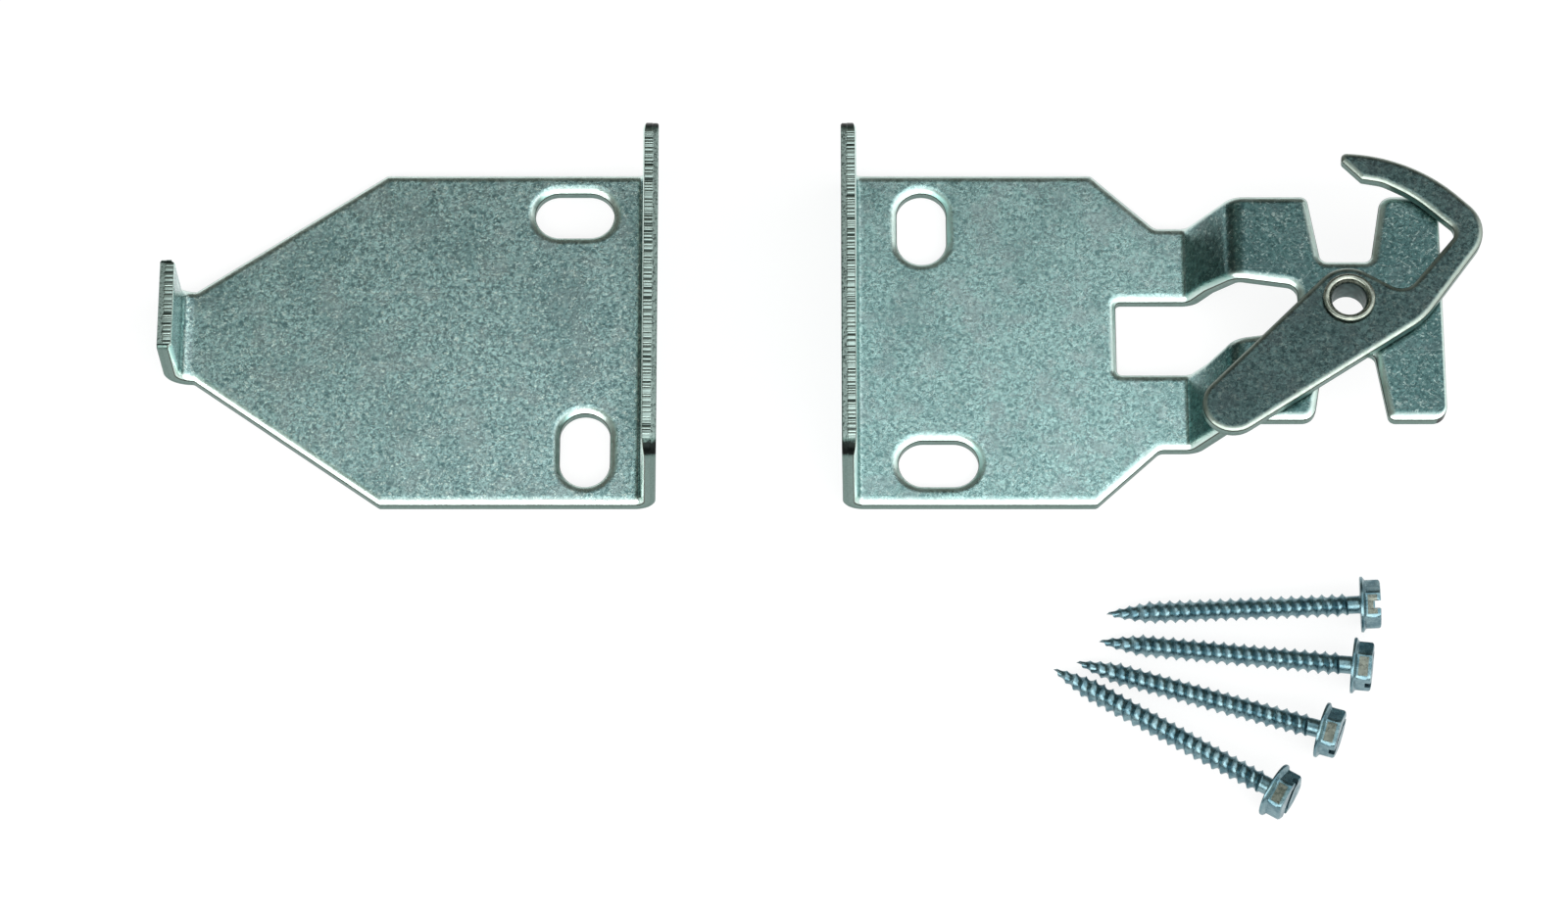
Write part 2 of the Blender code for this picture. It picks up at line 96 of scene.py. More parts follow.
def srgb(code: str) -> tuple[float, float, float, float]:
    """Turn an sRGB hex code into a linear colour.

    Args:
        code: Six hex digits after a hash.

    Returns:
        Linear red, green, blue and alpha.
    """
    values = [int(code[i:i + 2], 16) / 255 for i in (1, 3, 5)]
    linear = [v / 12.92 if v <= 0.04045 else ((v + 0.055) / 1.055) ** 2.4 for v in values]
    return linear[0], linear[1], linear[2], 1.0


class Blend(Enum):
    """How one colour is laid over another."""

    MIX = "MIX"
    MULTIPLY = "MULTIPLY"


@dataclass
class Brush:
    """Adds the nodes of one metal's material.

    Attributes:
        name: The material's name.
        material: The material being made.
        place: The socket of its Object coordinates.
    """

    name: str
    material: Material = field(init=False)
    place: NodeSocket = field(init=False)

    def __post_init__(self) -> None:
        """Start the material."""
        self.material = bpy.data.materials.new(self.name)
        self.material.use_nodes = True
        self.material.node_tree.nodes["Principled BSDF"].inputs["Metallic"].default_value = 1.0
        self.place = self.node("TexCoord", {}, {})["Object"]

    def node(self, kind: str, settings: dict[str, Any], inputs: dict[int | str, Any]) -> Any:
        """Add a node with its settings and its inputs.

        Args:
            kind: The node's Blender type name, past ShaderNode.
            settings: Attributes to set on the node.
            inputs: Socket name or number to a value, or to the output socket that feeds it.

        Returns:
            The new node's outputs.
        """
        made = self.material.node_tree.nodes.new("ShaderNode" + kind)
        for name, value in settings.items():
            setattr(made, name, value)
        for socket, value in inputs.items():
            if isinstance(value, NodeSocket):
                self.material.node_tree.links.new(value, made.inputs[socket])
            else:
                made.inputs[socket].default_value = value
        return made.outputs

    def attribute(self, name: str) -> NodeSocket:
        """Return a measure that the mesh's points carry."""
        return self.node("Attribute", {"attribute_name": name}, {})["Fac"]

    def axis(self, name: str) -> NodeSocket:
        """Return one of the Object coordinates."""
        return self.node("SeparateXYZ", {}, {0: self.place})[name]

    def math(self, operation: str, *values: Any) -> NodeSocket:
        """Return a sum, difference or other function of sockets and numbers."""
        return self.node("Math", {"operation": operation}, dict(enumerate(values)))[0]

    def times(self, first: Any, second: Any) -> NodeSocket:
        """Return the product of two sockets or numbers."""
        return self.math("MULTIPLY", first, second)

    def off(self, value: Any, middle: float) -> NodeSocket:
        """Return how far a value is from a middle one."""
        return self.math("ABSOLUTE", self.math("SUBTRACT", value, middle))

    def most(self, values: Sequence[NodeSocket]) -> NodeSocket:
        """Return the largest of several values."""
        largest = values[0]
        for value in values[1:]:
            largest = self.math("MAXIMUM", largest, value)
        return largest

    def ramp(self, value: Any, low: float, high: float, to_low: float = 0.0,
             to_high: float = 1.0) -> NodeSocket:
        """Return a value carried smoothly from one range to another."""
        inputs = {"Value": value, "From Min": low, "From Max": high, "To Min": to_low, "To Max": to_high}
        return self.node("MapRange", {"interpolation_type": "SMOOTHSTEP"}, inputs)["Result"]

    def colour(self, share: Any, first: Any, second: Any, blend: Blend = Blend.MIX) -> NodeSocket:
        """Return the second colour laid over the first by a share; each is a hex code or a socket."""
        under, over = (srgb(shade) if isinstance(shade, str) else shade for shade in (first, second))
        settings = {"data_type": "RGBA", "blend_type": blend.value}
        return self.node("Mix", settings, {0: share, 6: under, 7: over})[2]

    def noise(self, size: float, detail: float, roughness: float = 0.5, distortion: float = 0.0,
              place: NodeSocket | None = None) -> NodeSocket:
        """Return a cloud of patches of about a given size."""
        inputs = {"Vector": place or self.place, "Scale": 1 / size, "Detail": detail,
                  "Roughness": roughness, "Distortion": distortion}
        return self.node("TexNoise", {}, inputs)["Fac"]

    def dullness(self, size: float, roughness: float, spread: float) -> NodeSocket:
        """Return a roughness that varies a little in patches of about a given size."""
        return self.ramp(self.noise(size, 2.0), 0.3, 0.7, roughness - 0.05, roughness + spread)

    def streaks(self, turn: float, length: float, width: float, rarity: float) -> NodeSocket:
        """Return short straight scratches that all run one way.

        Args:
            turn: The way they run, as an angle about Z.
            length: Their usual length.
            width: Their usual width.
            rarity: How high the noise must reach before it counts as a scratch.

        Returns:
            One on a scratch and nought off it.
        """
        inputs = {"Vector": self.place, "Angle": turn}
        turned = self.node("VectorRotate", {"rotation_type": "Z_AXIS"}, inputs)[0]
        scale = (1 / length, 1 / width, 1 / length)
        stretched = self.node("VectorMath", {"operation": "MULTIPLY"}, {0: turned, 1: scale})[0]
        return self.ramp(self.noise(1.0, 1.0, place=stretched), rarity, rarity + 0.05)

    def dress(self, colour: NodeSocket, roughness: NodeSocket, height: NodeSocket,
              depth: float) -> Material:
        """Link up the metal's shader.

        Args:
            colour: Its colour.
            roughness: How dull it is.
            height: Its relief, from nought to about one.
            depth: How deep that relief is.

        Returns:
            The finished material.
        """
        relief = self.node("Bump", {}, {"Strength": 1.0, "Distance": depth, "Height": height})[0]
        tree = self.material.node_tree
        for name, value in (("Base Color", colour), ("Roughness", roughness), ("Normal", relief)):
            tree.links.new(value, tree.nodes["Principled BSDF"].inputs[name])
        return self.material


@dataclass(frozen=True)
class TumbledZinc:
    """Bright zinc plate on rolled sheet, deburred by tumbling: painted glints under small nicks.

    The tumbling stones leave the flats finely dented and polish the rolled rims. The dents' glints
    are painted highlights: short bright curls laid into the colour. The clear passivation gives a
    cold blue-green cast.

    Attributes:
        name: The material's name.
        light: The colour of its lighter grains.
        dark: The colour of its darker grains.
        tint: The colour of the passivation's uneven patches.
        rim: The colour of all that is polished, the rims and the scratches, and of the dents' painted
            glints.
        roughness: How dull the flats are.
        painted_far_shade: Painted shade: the colour that the plate is multiplied by beyond far_start, where
            the raised plate and its ramp catch less light.
        far_start: The x past which the painted shade sets in, or None for an even plate.
        far_width: How far the painted shade takes to set in.
        far_glint_strength: How strongly the dents' painted glints show there.
        grain: The size of the dents.
        dent_depth: How deep the dents are.
        patch: The size of the passivation's patches.
        cloud: The size of the darker clouds.
        glint_sizes: The lengths of the dents' painted glints.
        glint_strength: How strongly the dents' painted glints show.
        nicks: The turn, length, width and rarity of each kind of scratch.
        scratches: How strongly the handling scratches show.
        score: Where a long faint score line runs level across the plate, or None.
        painted_shade: The colour of the painted shade: a dark line where the rolled rim meets the wall,
            standing in for a dark reflection.
    """

    name: str
    light: str
    dark: str
    tint: str
    rim: str
    roughness: float
    painted_far_shade: str = "#ffffff"
    far_start: float | None = None
    far_width: float = 6 * MM
    far_glint_strength: float = 0.6
    grain: float = 0.55 * MM
    dent_depth: float = 0.024 * MM
    patch: float = 4.2 * MM
    cloud: float = 9 * MM
    glint_sizes: tuple[float, ...] = (1.1 * MM, 0.7 * MM)
    glint_strength: float = 0.9
    nicks: tuple[tuple[float, float, float, float], ...] = (
        (0.6, 3.5 * MM, 0.16 * MM, 0.70), (2.3, 2.6 * MM, 0.14 * MM, 0.71), (0.02, 9 * MM, 0.16 * MM, 0.74))
    scratches: float = 0.35
    score: Vector | None = None
    painted_shade: str = "#3d4034"

    def make(self) -> Material:
        """Return the finish as a material."""
        brush = Brush(self.name)
        dents = brush.noise(self.grain, 5.0, 0.72, 0.7)
        clouds = brush.noise(self.cloud, 4.0, 0.6)
        tints = brush.noise(self.patch, 4.0, 0.65)
        # Painted highlights: bright curls where the dents would glint.
        glint_mask = brush.most([self.painted_glints(brush, size) for size in self.glint_sizes])
        colour = brush.colour(brush.ramp(dents, 0.37, 0.63), self.dark, self.light)
        colour = brush.colour(brush.ramp(tints, 0.46, 0.64, 0.0, 0.4), colour, self.tint)
        colour = brush.colour(brush.ramp(clouds, 0.42, 0.70, 0.0, 0.38), colour, self.dark)
        bright = self.glint_strength
        # Painted shade: past far_start the plate is darkened and its painted glints are dimmed.
        if self.far_start is not None:
            shade = brush.ramp(brush.axis("X"), self.far_start, self.far_start + self.far_width)
            colour = brush.colour(shade, colour, self.painted_far_shade, Blend.MULTIPLY)
            bright = brush.ramp(shade, 0.0, 1.0, self.glint_strength, self.far_glint_strength)
        # Painted highlights: the glints are laid into the colour in the rim colour.
        colour = brush.colour(brush.times(glint_mask, bright), colour, self.rim)
        nicks = [brush.streaks(*nick) for nick in self.nicks]
        if self.score is not None:
            nicks.append(self.score_line(brush))
        worn = brush.times(brush.most(nicks), self.scratches)
        colour = brush.colour(worn, colour, self.rim)
        roll = brush.attribute("roll")
        polished = brush.times(brush.ramp(roll, 0.02, 0.5), brush.ramp(roll, 0.9, 0.76))
        colour = brush.colour(brush.times(polished, 0.8), colour, self.rim)
        # Painted shade: a dark line where the rolled rim meets the wall, in place of a dark reflection.
        colour = brush.colour(brush.ramp(roll, 0.76, 0.88), colour, self.painted_shade)
        rough = brush.dullness(1.4 * MM, self.roughness, 0.06)
        rough = brush.math("ADD", rough, brush.times(polished, 0.08))
        height = brush.math("SUBTRACT", dents, brush.times(worn, 0.8))
        return brush.dress(colour, rough, height, self.dent_depth)

    @staticmethod
    def painted_glints(brush: Brush, size: float) -> NodeSocket:
        """Return the dents' painted highlights: short bright glints, as curls that lie every way.

        Args:
            brush: The material's brush.
            size: The curls' usual length.

        Returns:
            One on a curl and nought off it.
        """
        off = brush.off(brush.noise(size, 2.0, 0.6, 0.5), 0.5)
        gaps = brush.ramp(brush.noise(size * 0.7, 1.0), 0.56, 0.66)
        return brush.times(brush.ramp(off, 0.055, 0.01), gaps)

    def score_line(self, brush: Brush) -> NodeSocket:
        """Return a broken, level score line across the plate.

        Args:
            brush: The material's brush.

        Returns:
            One on the line and nought off it.
        """
        along = brush.ramp(brush.off(brush.axis("X"), self.score.x), 24 * MM, 14 * MM)
        across = brush.ramp(brush.off(brush.axis("Y"), self.score.y), 0.12 * MM, 0.05 * MM)
        broken = brush.ramp(brush.noise(2.2 * MM, 3.0), 0.42, 0.60, 0.15, 0.8)
        return brush.times(brush.times(across, along), broken)


@dataclass(frozen=True)
class PunchedEdge:
    """The wall that a punch leaves, plated after: a burnished band above a torn one.

    The burnished band has fine upright shear marks, which catch the light as light and dark
    ticks; painted shade darkens their hollows. The torn band is a coarse break, a little darker and
    full of crumbs, whose hollows also carry painted shade.

    Attributes:
        name: The material's name.
        burnished: The colour of the burnished band.
        torn: The colour of the torn band.
        drawn: The colour of a wall that a punch left smooth.
        hollow_shade: The colour of the painted shade in the hollows of the shear marks and the crumbs; on a
            drawn wall it is laid in random darker patches.
        painted_shade: The colour of the painted shade where the shear turns round a corner.
        pitch: The spacing of the shear marks.
        crumb: The size of the torn band's crumbs.
        relief: How deep the marks and the crumbs are.
    """

    name: str
    burnished: str
    torn: str
    drawn: str
    hollow_shade: str
    painted_shade: str
    pitch: float = 0.75 * MM
    crumb: float = 0.34 * MM
    relief: float = 0.045 * MM

    def make(self) -> Material:
        """Return the finish as a material."""
        brush = Brush(self.name)
        run, depth, shear = (brush.attribute(name) for name in ("run", "depth", "shear"))
        slip = brush.node("TexNoise", {"noise_dimensions": "1D"},
                          {"W": run, "Scale": 0.55 / self.pitch, "Detail": 2.0})["Fac"]
        phase = brush.math("ADD", brush.math("DIVIDE", run, self.pitch), brush.times(slip, 2.6))
        pillow = brush.math("ABSOLUTE", brush.math("SINE", brush.times(phase, math.pi)))
        sheared = brush.ramp(shear, 0.9, 1.0)
        border = brush.math("ADD", depth, brush.times(brush.noise(0.9 * MM, 3.0), 0.12))
        upper = brush.ramp(border, 0.40, 0.45)
        crumbs = brush.noise(self.crumb, 4.0, 0.7)
        # Painted shade: the crumbs' hollows take the darker colour.
        torn = brush.colour(brush.ramp(crumbs, 0.34, 0.54), self.hollow_shade, self.torn)
        # Painted shade: the shear marks' hollows take the darker colour.
        ribbed = brush.colour(brush.ramp(pillow, 0.12, 0.55), self.hollow_shade, self.burnished)
        drawn = brush.colour(brush.ramp(crumbs, 0.35, 0.65, 0.0, 0.3), self.drawn, self.hollow_shade)
        colour = brush.colour(sheared, drawn, brush.colour(upper, torn, ribbed))
        # Painted shade: a near-black patch where the shear turns round a corner.
        ragged = brush.math("ADD", shear, brush.times(brush.math("SUBTRACT", crumbs, 0.5), 0.4))
        turned = brush.times(brush.ramp(ragged, 0.95, 0.80), brush.ramp(ragged, 0.0, 0.25))
        colour = brush.colour(brush.times(turned, 0.97), colour, self.painted_shade)
        rough = brush.math("SUBTRACT", 0.44, brush.times(upper, 0.12))
        torn_height = brush.times(crumbs, brush.math("SUBTRACT", 1.2, upper))
        ribs = brush.times(brush.times(pillow, upper), sheared)
        height = brush.math("ADD", torn_height, brush.times(ribs, 1.5))
        return brush.dress(colour, rough, height, self.relief)


@dataclass(frozen=True)
class BlueZinc:
    """Clear blue zinc plate on a rolled or headed surface: glossy, faintly uneven.

    Attributes:
        name: The material's name.
        light: The colour of its lighter patches.
        dark: The colour of its darker patches.
        roughness: How dull it is.
        grain: The size of its unevenness.
        wave: How deep its unevenness is.
    """

    name: str
    light: str
    dark: str
    roughness: float
    grain: float
    wave: float

    def make(self) -> Material:
        """Return the finish as a material."""
        brush = Brush(self.name)
        cloud = brush.noise(self.grain, 3.0, 0.6)
        colour = brush.colour(brush.ramp(cloud, 0.32, 0.68), self.dark, self.light)
        return brush.dress(colour, brush.dullness(0.5 * MM, self.roughness, 0.08), cloud, self.wave)


# Shapes

@dataclass(frozen=True)
class Corner:
    """A corner of an outline, with the radius that it is rounded to."""

    x: float
    y: float
    radius: float = 0.0


@dataclass
class Outline:
    """A closed outline of straight runs and round corners, with the metal on its left.

    Attributes:
        corners: Its corners in order.
        hole: Whether it bounds a hole; a hole's corners are put in clockwise order.
        sheared_ends: Whether its ends at the lowest and the highest x were sheared, not punched.
    """

    corners: list[Corner]
    hole: bool = False
    sheared_ends: bool = False

    @classmethod
    def cutout(cls, x: float, y: float, half_x: float, half_y: float, radius: float) -> "Outline":
        """Return a hole with four round corners about a middle."""
        signs = ((1, 1), (-1, 1), (-1, -1), (1, -1))
        return cls([Corner(x + i * half_x, y + j * half_y, radius) for i, j in signs], hole=True)

    def __post_init__(self) -> None:
        """Put the corners in order and shrink each radius that its neighbour leaves no room for."""
        area = sum(a.x * b.y - b.x * a.y for a, b in zip(self.corners, self.corners[1:] + self.corners[:1]))
        if (area > 0) == self.hole:
            self.corners = self.corners[::-1]
        count = len(self.corners)
        points = [Vector((corner.x, corner.y)) for corner in self.corners]
        turns = [abs(self._turn(i)) for i in range(count)]
        reaches = [corner.radius * math.tan(turn / 2) for corner, turn in zip(self.corners, turns)]
        fitted = []
        for i, corner in enumerate(self.corners):
            scale = 1.0
            for j in (i - 1, (i + 1) % count):
                room = 0.999 * (points[j] - points[i]).length
                if reaches[i] + reaches[j] > room:
                    scale = min(scale, room / (reaches[i] + reaches[j]))
            fitted.append(Corner(corner.x, corner.y, corner.radius * scale))
        self.corners = fitted

    def _ways(self, i: int) -> tuple[Vector, Vector]:
        """Return the directions into and out of a corner."""
        here, before, after = (self.corners[j] for j in (i, i - 1, (i + 1) % len(self.corners)))
        into = Vector((here.x - before.x, here.y - before.y)).normalized()
        out = Vector((after.x - here.x, after.y - here.y)).normalized()
        return into, out

    def _turn(self, i: int) -> float:
        """Return a corner's turn, positive to the left."""
        into, out = self._ways(i)
        return math.atan2(into.x * out.y - into.y * out.x, into.dot(out))

    def sheared(self, point: Vector) -> float:
        """Return how far a point is round the corner of a sheared end.

        Args:
            point: The point.

        Returns:
            One on the end, less round its corner and nought past it.
        """
        if not self.sheared_ends:
            return 0.0
        share = 0.0
        for end in (min(corner.x for corner in self.corners), max(corner.x for corner in self.corners)):
            radius = min(corner.radius for corner in self.corners if abs(corner.x - end) < WELD)
            reach = SHEAR_SHARE * radius if radius > TIGHT_CORNER else TIGHT_REACH
            share = max(share, 1 - abs(point.x - end) / reach)
        return share

    def ring(self, inset: float) -> list[Vector]:
        """Return the outline's points, moved into the metal.

        Args:
            inset: How far they are moved.

        Returns:
            The points. Their number doesn't depend on the inset.
        """
        points = []
        for i, corner in enumerate(self.corners):
            into, out = self._ways(i)
            turn = self._turn(i)
            left_in = Vector((-into.y, into.x))
            left_out = Vector((-out.y, out.x))
            tip = Vector((corner.x, corner.y)) + (left_in + left_out) * inset / (1 + left_in.dot(left_out))
            if corner.radius == 0:
                points.append(tip)
                continue
            side = 1 if turn > 0 else -1
            radius = max(SMALLEST_RADIUS, corner.radius - side * inset)
            start = tip - into * radius * math.tan(abs(turn) / 2)
            centre = start + left_in * side * radius
            steps = max(2, math.ceil(abs(turn) / ARC_STEP),
                        math.ceil(corner.radius * abs(turn) / LONGEST_SEGMENT))
            points += [centre + Matrix.Rotation(turn * step / steps, 2) @ (start - centre)
                       for step in range(steps + 1)]
        return points


@dataclass(frozen=True)
class Level:
    """One line round a punched edge.

    Attributes:
        inset: How far it is inside the wall.
        height: How far it is above the sheet's underside.
        roll: How far it is round the rolled rim, from 0 at the flat to 1 at the wall.
        wall: Whether the strip below it belongs to the wall.
    """

    inset: float
    height: float
    roll: float = 0.0
    wall: bool = False


@dataclass(frozen=True)
class PunchedRim:
    """The shape of a punched edge, from the underside up.

    Attributes:
        thickness: The sheet's thickness.
        roll: How far the rolled upper rim reaches across the face.
        steepest: How steep the rolled rim gets before its nose.
        growth: The power by which the rolled rim steepens.
        nose: The radius of the nose where the rolled rim meets the wall.
        torn_share: The share of the thickness that tore.
        torn_step: How far the torn band stands back.
        break_size: The size of the deburred lower edge.
        border: The width of the flat strip that keeps the faces' shading flat.
        sheared_roll: The share of the rolled rim that is left on a sheared end.
        nose_steps: The number of levels round the nose.
        roll_steps: The number of levels across the rolled rim.
    """

    thickness: float
    roll: float
    steepest: float = math.radians(47)
    growth: float = 2.3
    nose: float = 0.14 * MM
    torn_share: float = 0.40
    torn_step: float = 0.05 * MM
    break_size: float = 0.2 * MM
    border: float = 0.12 * MM
    sheared_roll: float = 0.35
    nose_steps: int = 3
    roll_steps: int = 8

    def levels(self) -> list[Level]:
        """Return the edge's levels in order."""
        torn_top = self.thickness * self.torn_share
        low_inset = self.torn_step + self.break_size
        sink = self.roll * math.tan(self.steepest) / self.growth
        nose_in = self.nose * (1 - math.sin(self.steepest))
        wall_top = self.thickness - sink - self.nose * math.cos(self.steepest)
        levels = [
            Level(low_inset + self.border, 0.0),
            Level(low_inset, 0.0),
            Level(self.torn_step, self.break_size, 1.0, True),
            Level(self.torn_step, torn_top, 1.0, True),
            Level(0.0, torn_top + self.torn_step, 1.0, True),
            Level(0.0, wall_top, 1.0, True),
        ]
        for step in range(1, self.nose_steps + 1):
            angle = math.pi / 2 + (self.steepest - math.pi / 2) * step / self.nose_steps
            inset = self.nose * (1 - math.sin(angle))
            levels.append(Level(inset, wall_top + self.nose * math.cos(angle), 0.9))
        for step in range(1, self.roll_steps + 1):
            share = 1 - step / self.roll_steps
            inset = nose_in + self.roll * (1 - share)
            levels.append(Level(inset, self.thickness - sink * share ** self.growth, 0.75 * share))
        levels.append(Level(nose_in + self.roll + self.border, self.thickness))
        return levels


@dataclass(frozen=True)
class Bend:
    """A bend of a sheet: where it starts, how far it turns, and its radius at the sheet's middle."""

    start: float
    turn: float
    radius: float


@dataclass
class Fold:
    """The bends on both sides of a line that stays where it is.

    Attributes:
        datum: The x of that line.
        left: The bends met on the way to lower x.
        right: The bends met on the way to higher x.
        step: The largest turn between two lines across a bend.
        border: How far from a bend the lines go that keep the flats' shading flat.
    """

    datum: float
    left: list[Bend] = field(default_factory=list)
    right: list[Bend] = field(default_factory=list)
    step: float = math.radians(5)
    border: float = 0.15 * MM

    def lines(self) -> list[float]:
        """Return the x of every line that the flat blank needs across it."""
        lines = []
        for side, bends in ((-1, self.left), (1, self.right)):
            for bend in bends:
                steps = math.ceil(abs(bend.turn) / self.step)
                length = bend.radius * abs(bend.turn)
                along = [bend.start + length * i / steps for i in range(steps + 1)]
                along += [bend.start - self.border, bend.start + length + self.border]
                lines += [self.datum + side * distance for distance in along]
        return lines

    @staticmethod
    def walk(distance: float, bends: Sequence[Bend]) -> tuple[float, float, float]:
        """Follow the sheet's middle.

        Args:
            distance: How far along the sheet.
            bends: The bends on the way.

        Returns:
            The x, the z and the heading that are reached.
        """
        x, z, heading, done = 0.0, 0.0, 0.0, 0.0
        for bend in bends:
            if distance <= bend.start:
                break
            x += (bend.start - done) * math.cos(heading)
            z += (bend.start - done) * math.sin(heading)
            length = min(distance - bend.start, bend.radius * abs(bend.turn))
            swept = math.copysign(length / bend.radius, bend.turn)
            side = math.copysign(bend.radius, bend.turn)
            x += side * (math.sin(heading + swept) - math.sin(heading))
            z += side * (math.cos(heading) - math.cos(heading + swept))
            heading += swept
            done = bend.start + length
        x += (distance - done) * math.cos(heading)
        z += (distance - done) * math.sin(heading)
        return x, z, heading

    def apply(self, bm: BMesh, thickness: float) -> None:
        """Carry a flat blank onto its folded shape.

        Args:
            bm: The blank, with its underside on z = 0.
            thickness: The sheet's thickness.
        """
        for vert in bm.verts:
            along = vert.co.x - self.datum
            side = 1 if along >= 0 else -1
            x, z, heading = self.walk(abs(along), self.right if side > 0 else self.left)
            lift = vert.co.z - thickness / 2
            vert.co.x = self.datum + side * (x - lift * math.sin(heading))
            vert.co.z = thickness / 2 + z + lift * math.cos(heading)


def extrude(bm: BMesh, edges: Sequence[BMEdge]) -> tuple[list[BMVert], list[BMEdge], list[BMFace]]:
    """Extrude a chain of edges, in place for now.

    Args:
        bm: The mesh.
        edges: The edges.

    Returns:
        The new points, the edges between them, and the faces that join them to the old edges.
    """
    grown = bmesh.ops.extrude_edge_only(bm, edges=edges)["geom"]
    verts = [item for item in grown if isinstance(item, BMVert)]
    faces = [item for item in grown if isinstance(item, BMFace)]
    made = set(verts)
    rim = [item for item in grown if isinstance(item, BMEdge) and made.issuperset(item.verts)]
    return verts, rim, faces


@dataclass
class Blank:
    """A punched blank: its outline, its holes and the shape of its cut edges."""

    outline: Outline
    holes: list[Outline]
    rim: PunchedRim

    def build(self, fold: Fold | None = None) -> BMesh:
        """Punch the blank and fold it.

        Args:
            fold: The bends, or None for a flat piece.

        Returns:
            A closed mesh with material 0 on the faces and rims and 1 on the walls.
        """
        bm = bmesh.new()
        layers = {name: bm.verts.layers.float.new(name) for name in ("roll", "run", "depth", "shear")}
        levels = self.rim.levels()
        bottom, top = [], []
        for loop in [self.outline, *self.holes]:
            first, last = self._edge(bm, loop, levels, layers)
            bottom += first
            top += last
        for edges in (bottom, top):
            bmesh.ops.triangle_fill(bm, use_beauty=True, edges=edges)
        if fold:
            for line in fold.lines():
                everything = bm.verts[:] + bm.edges[:] + bm.faces[:]
                bmesh.ops.bisect_plane(bm, geom=everything, dist=TOUCH, plane_co=(line, 0, 0),
                                       plane_no=(1, 0, 0))
            fold.apply(bm, self.rim.thickness)
        bmesh.ops.recalc_face_normals(bm, faces=bm.faces[:])
        return bm

    def _edge(self, bm: BMesh, loop: Outline, levels: Sequence[Level], layers: dict[str, Any]
              ) -> tuple[list[BMEdge], list[BMEdge]]:
        """Raise one outline through every level.

        Args:
            bm: The mesh.
            loop: The outline.
            levels: The levels, from the underside up.
            layers: The layers for the roll, the run along the edge, the depth and the shear.

        Returns:
            The lowest and the highest ring of edges.
        """
        points = loop.ring(levels[0].inset)
        verts = [bm.verts.new((point.x, point.y, levels[0].height)) for point in points]
        order = {vert: i for i, vert in enumerate(verts)}
        wall = loop.ring(0.0)
        runs = [0.0]
        for before, after in zip(wall, wall[1:]):
            runs.append(runs[-1] + (after - before).length)
        for i, vert in enumerate(verts):
            vert[layers["run"]] = runs[i]
        shear = [loop.sheared(point) for point in wall]
        top = levels[-1].height
        edges = [bm.edges.new((vert, verts[(i + 1) % len(verts)])) for i, vert in enumerate(verts)]
        first = edges
        for level in levels[1:]:
            raised, edges, faces = extrude(bm, edges)
            places = loop.ring(level.inset)
            moved = {}
            for vert in raised:
                below = next(edge.other_vert(vert) for edge in vert.link_edges
                             if edge.other_vert(vert) in order)
                i = order[below]
                moved[vert] = i
                small = 1 - (1 - self.rim.sheared_roll) * shear[i] if level.height > top / 2 else 1.0
                spot = wall[i] + (places[i] - wall[i]) * small
                vert.co = (spot.x, spot.y, top - (top - level.height) * small)
                vert[layers["roll"]] = level.roll
                vert[layers["run"]] = runs[i]
                vert[layers["shear"]] = shear[i]
                vert[layers["depth"]] = vert.co.z / top
            for face in faces:
                face.material_index = 1 if level.wall else 0
            order = moved
        return first, edges


def finish_mesh(name: str, bm: BMesh, place: Matrix, materials: Sequence[Material]
                ) -> Object:
    """Turn a mesh into an object at the origin, with its place in its mesh.

    Args:
        name: The piece's name.
        bm: The mesh, which is freed.
        place: Where the piece goes.
        materials: Its materials in order.

    Returns:
        The object.
    """
    bmesh.ops.transform(bm, matrix=place, verts=bm.verts[:])
    mesh = bpy.data.meshes.new(name)
    bm.to_mesh(mesh)
    bm.free()
    mesh.shade_smooth()
    mesh.set_sharp_from_angle(angle=SHARP_ANGLE)
    for material in materials:
        mesh.materials.append(material)
    piece = bpy.data.objects.new(name, mesh)
    bpy.context.scene.collection.objects.link(piece)
    return piece


# Sub-assemblies

class Pressing:
    """A piece pressed from sheet, which a subclass shapes.

    Attributes:
        name: The piece's name.
    """

    name: ClassVar[str]

    def mesh(self) -> BMesh:
        """Return the piece's mesh."""
        raise NotImplementedError

    def build(self, place: Matrix, face: Material, edge: Material) -> Object:
        """Build the piece and dress its faces and its walls."""
        return finish_mesh(self.name, self.mesh(), place, (face, edge))


@dataclass(frozen=True)
class SheetSizes:
    """The sizes that both brackets share."""

    thickness: float = 2.3 * MM
    height: float = 55.0 * MM
    flange: float = 22.0 * MM
    flange_corner: float = 3.0 * MM
    bend_radius: float = 0.9 * MM
    slot_width: float = 7.5 * MM
    slot_length: float = 12.0 * MM
    slot_margin: float = 3.05 * MM
    roll: float = 1.3 * MM

    def rim(self) -> PunchedRim:
        """Return the shape of the brackets' cut edges."""
        return PunchedRim(self.thickness, self.roll)

    def bend(self, lean: float, inner: float) -> tuple[float, float, float]:
        """Return a bend's turn, its middle radius and its setback from the outer face."""
        turn = math.pi / 2 - lean
        setback = (inner + self.thickness) * math.tan(turn / 2)
        return turn, inner + self.thickness / 2, setback

    def reach(self, height: float, turn: float, radius: float) -> float:
        """Return the sheet's length past the start of a bend that ends at a height."""
        climb = height - self.thickness / 2 * (1 + math.cos(turn)) - radius * (1 - math.cos(turn))
        return radius * turn + climb / math.sin(turn)

    def slot(self, x: float, side: int, upright: bool) -> Outline:
        """Return a slot with round ends near the upper (side 1) or lower (side -1) edge."""
        half_x = (self.slot_width if upright else self.slot_length) / 2
        half_y = (self.slot_length if upright else self.slot_width) / 2
        y = side * (self.height / 2 - self.slot_margin - half_y)
        return Outline.cutout(x, y, half_x, half_y, self.slot_width / 2)


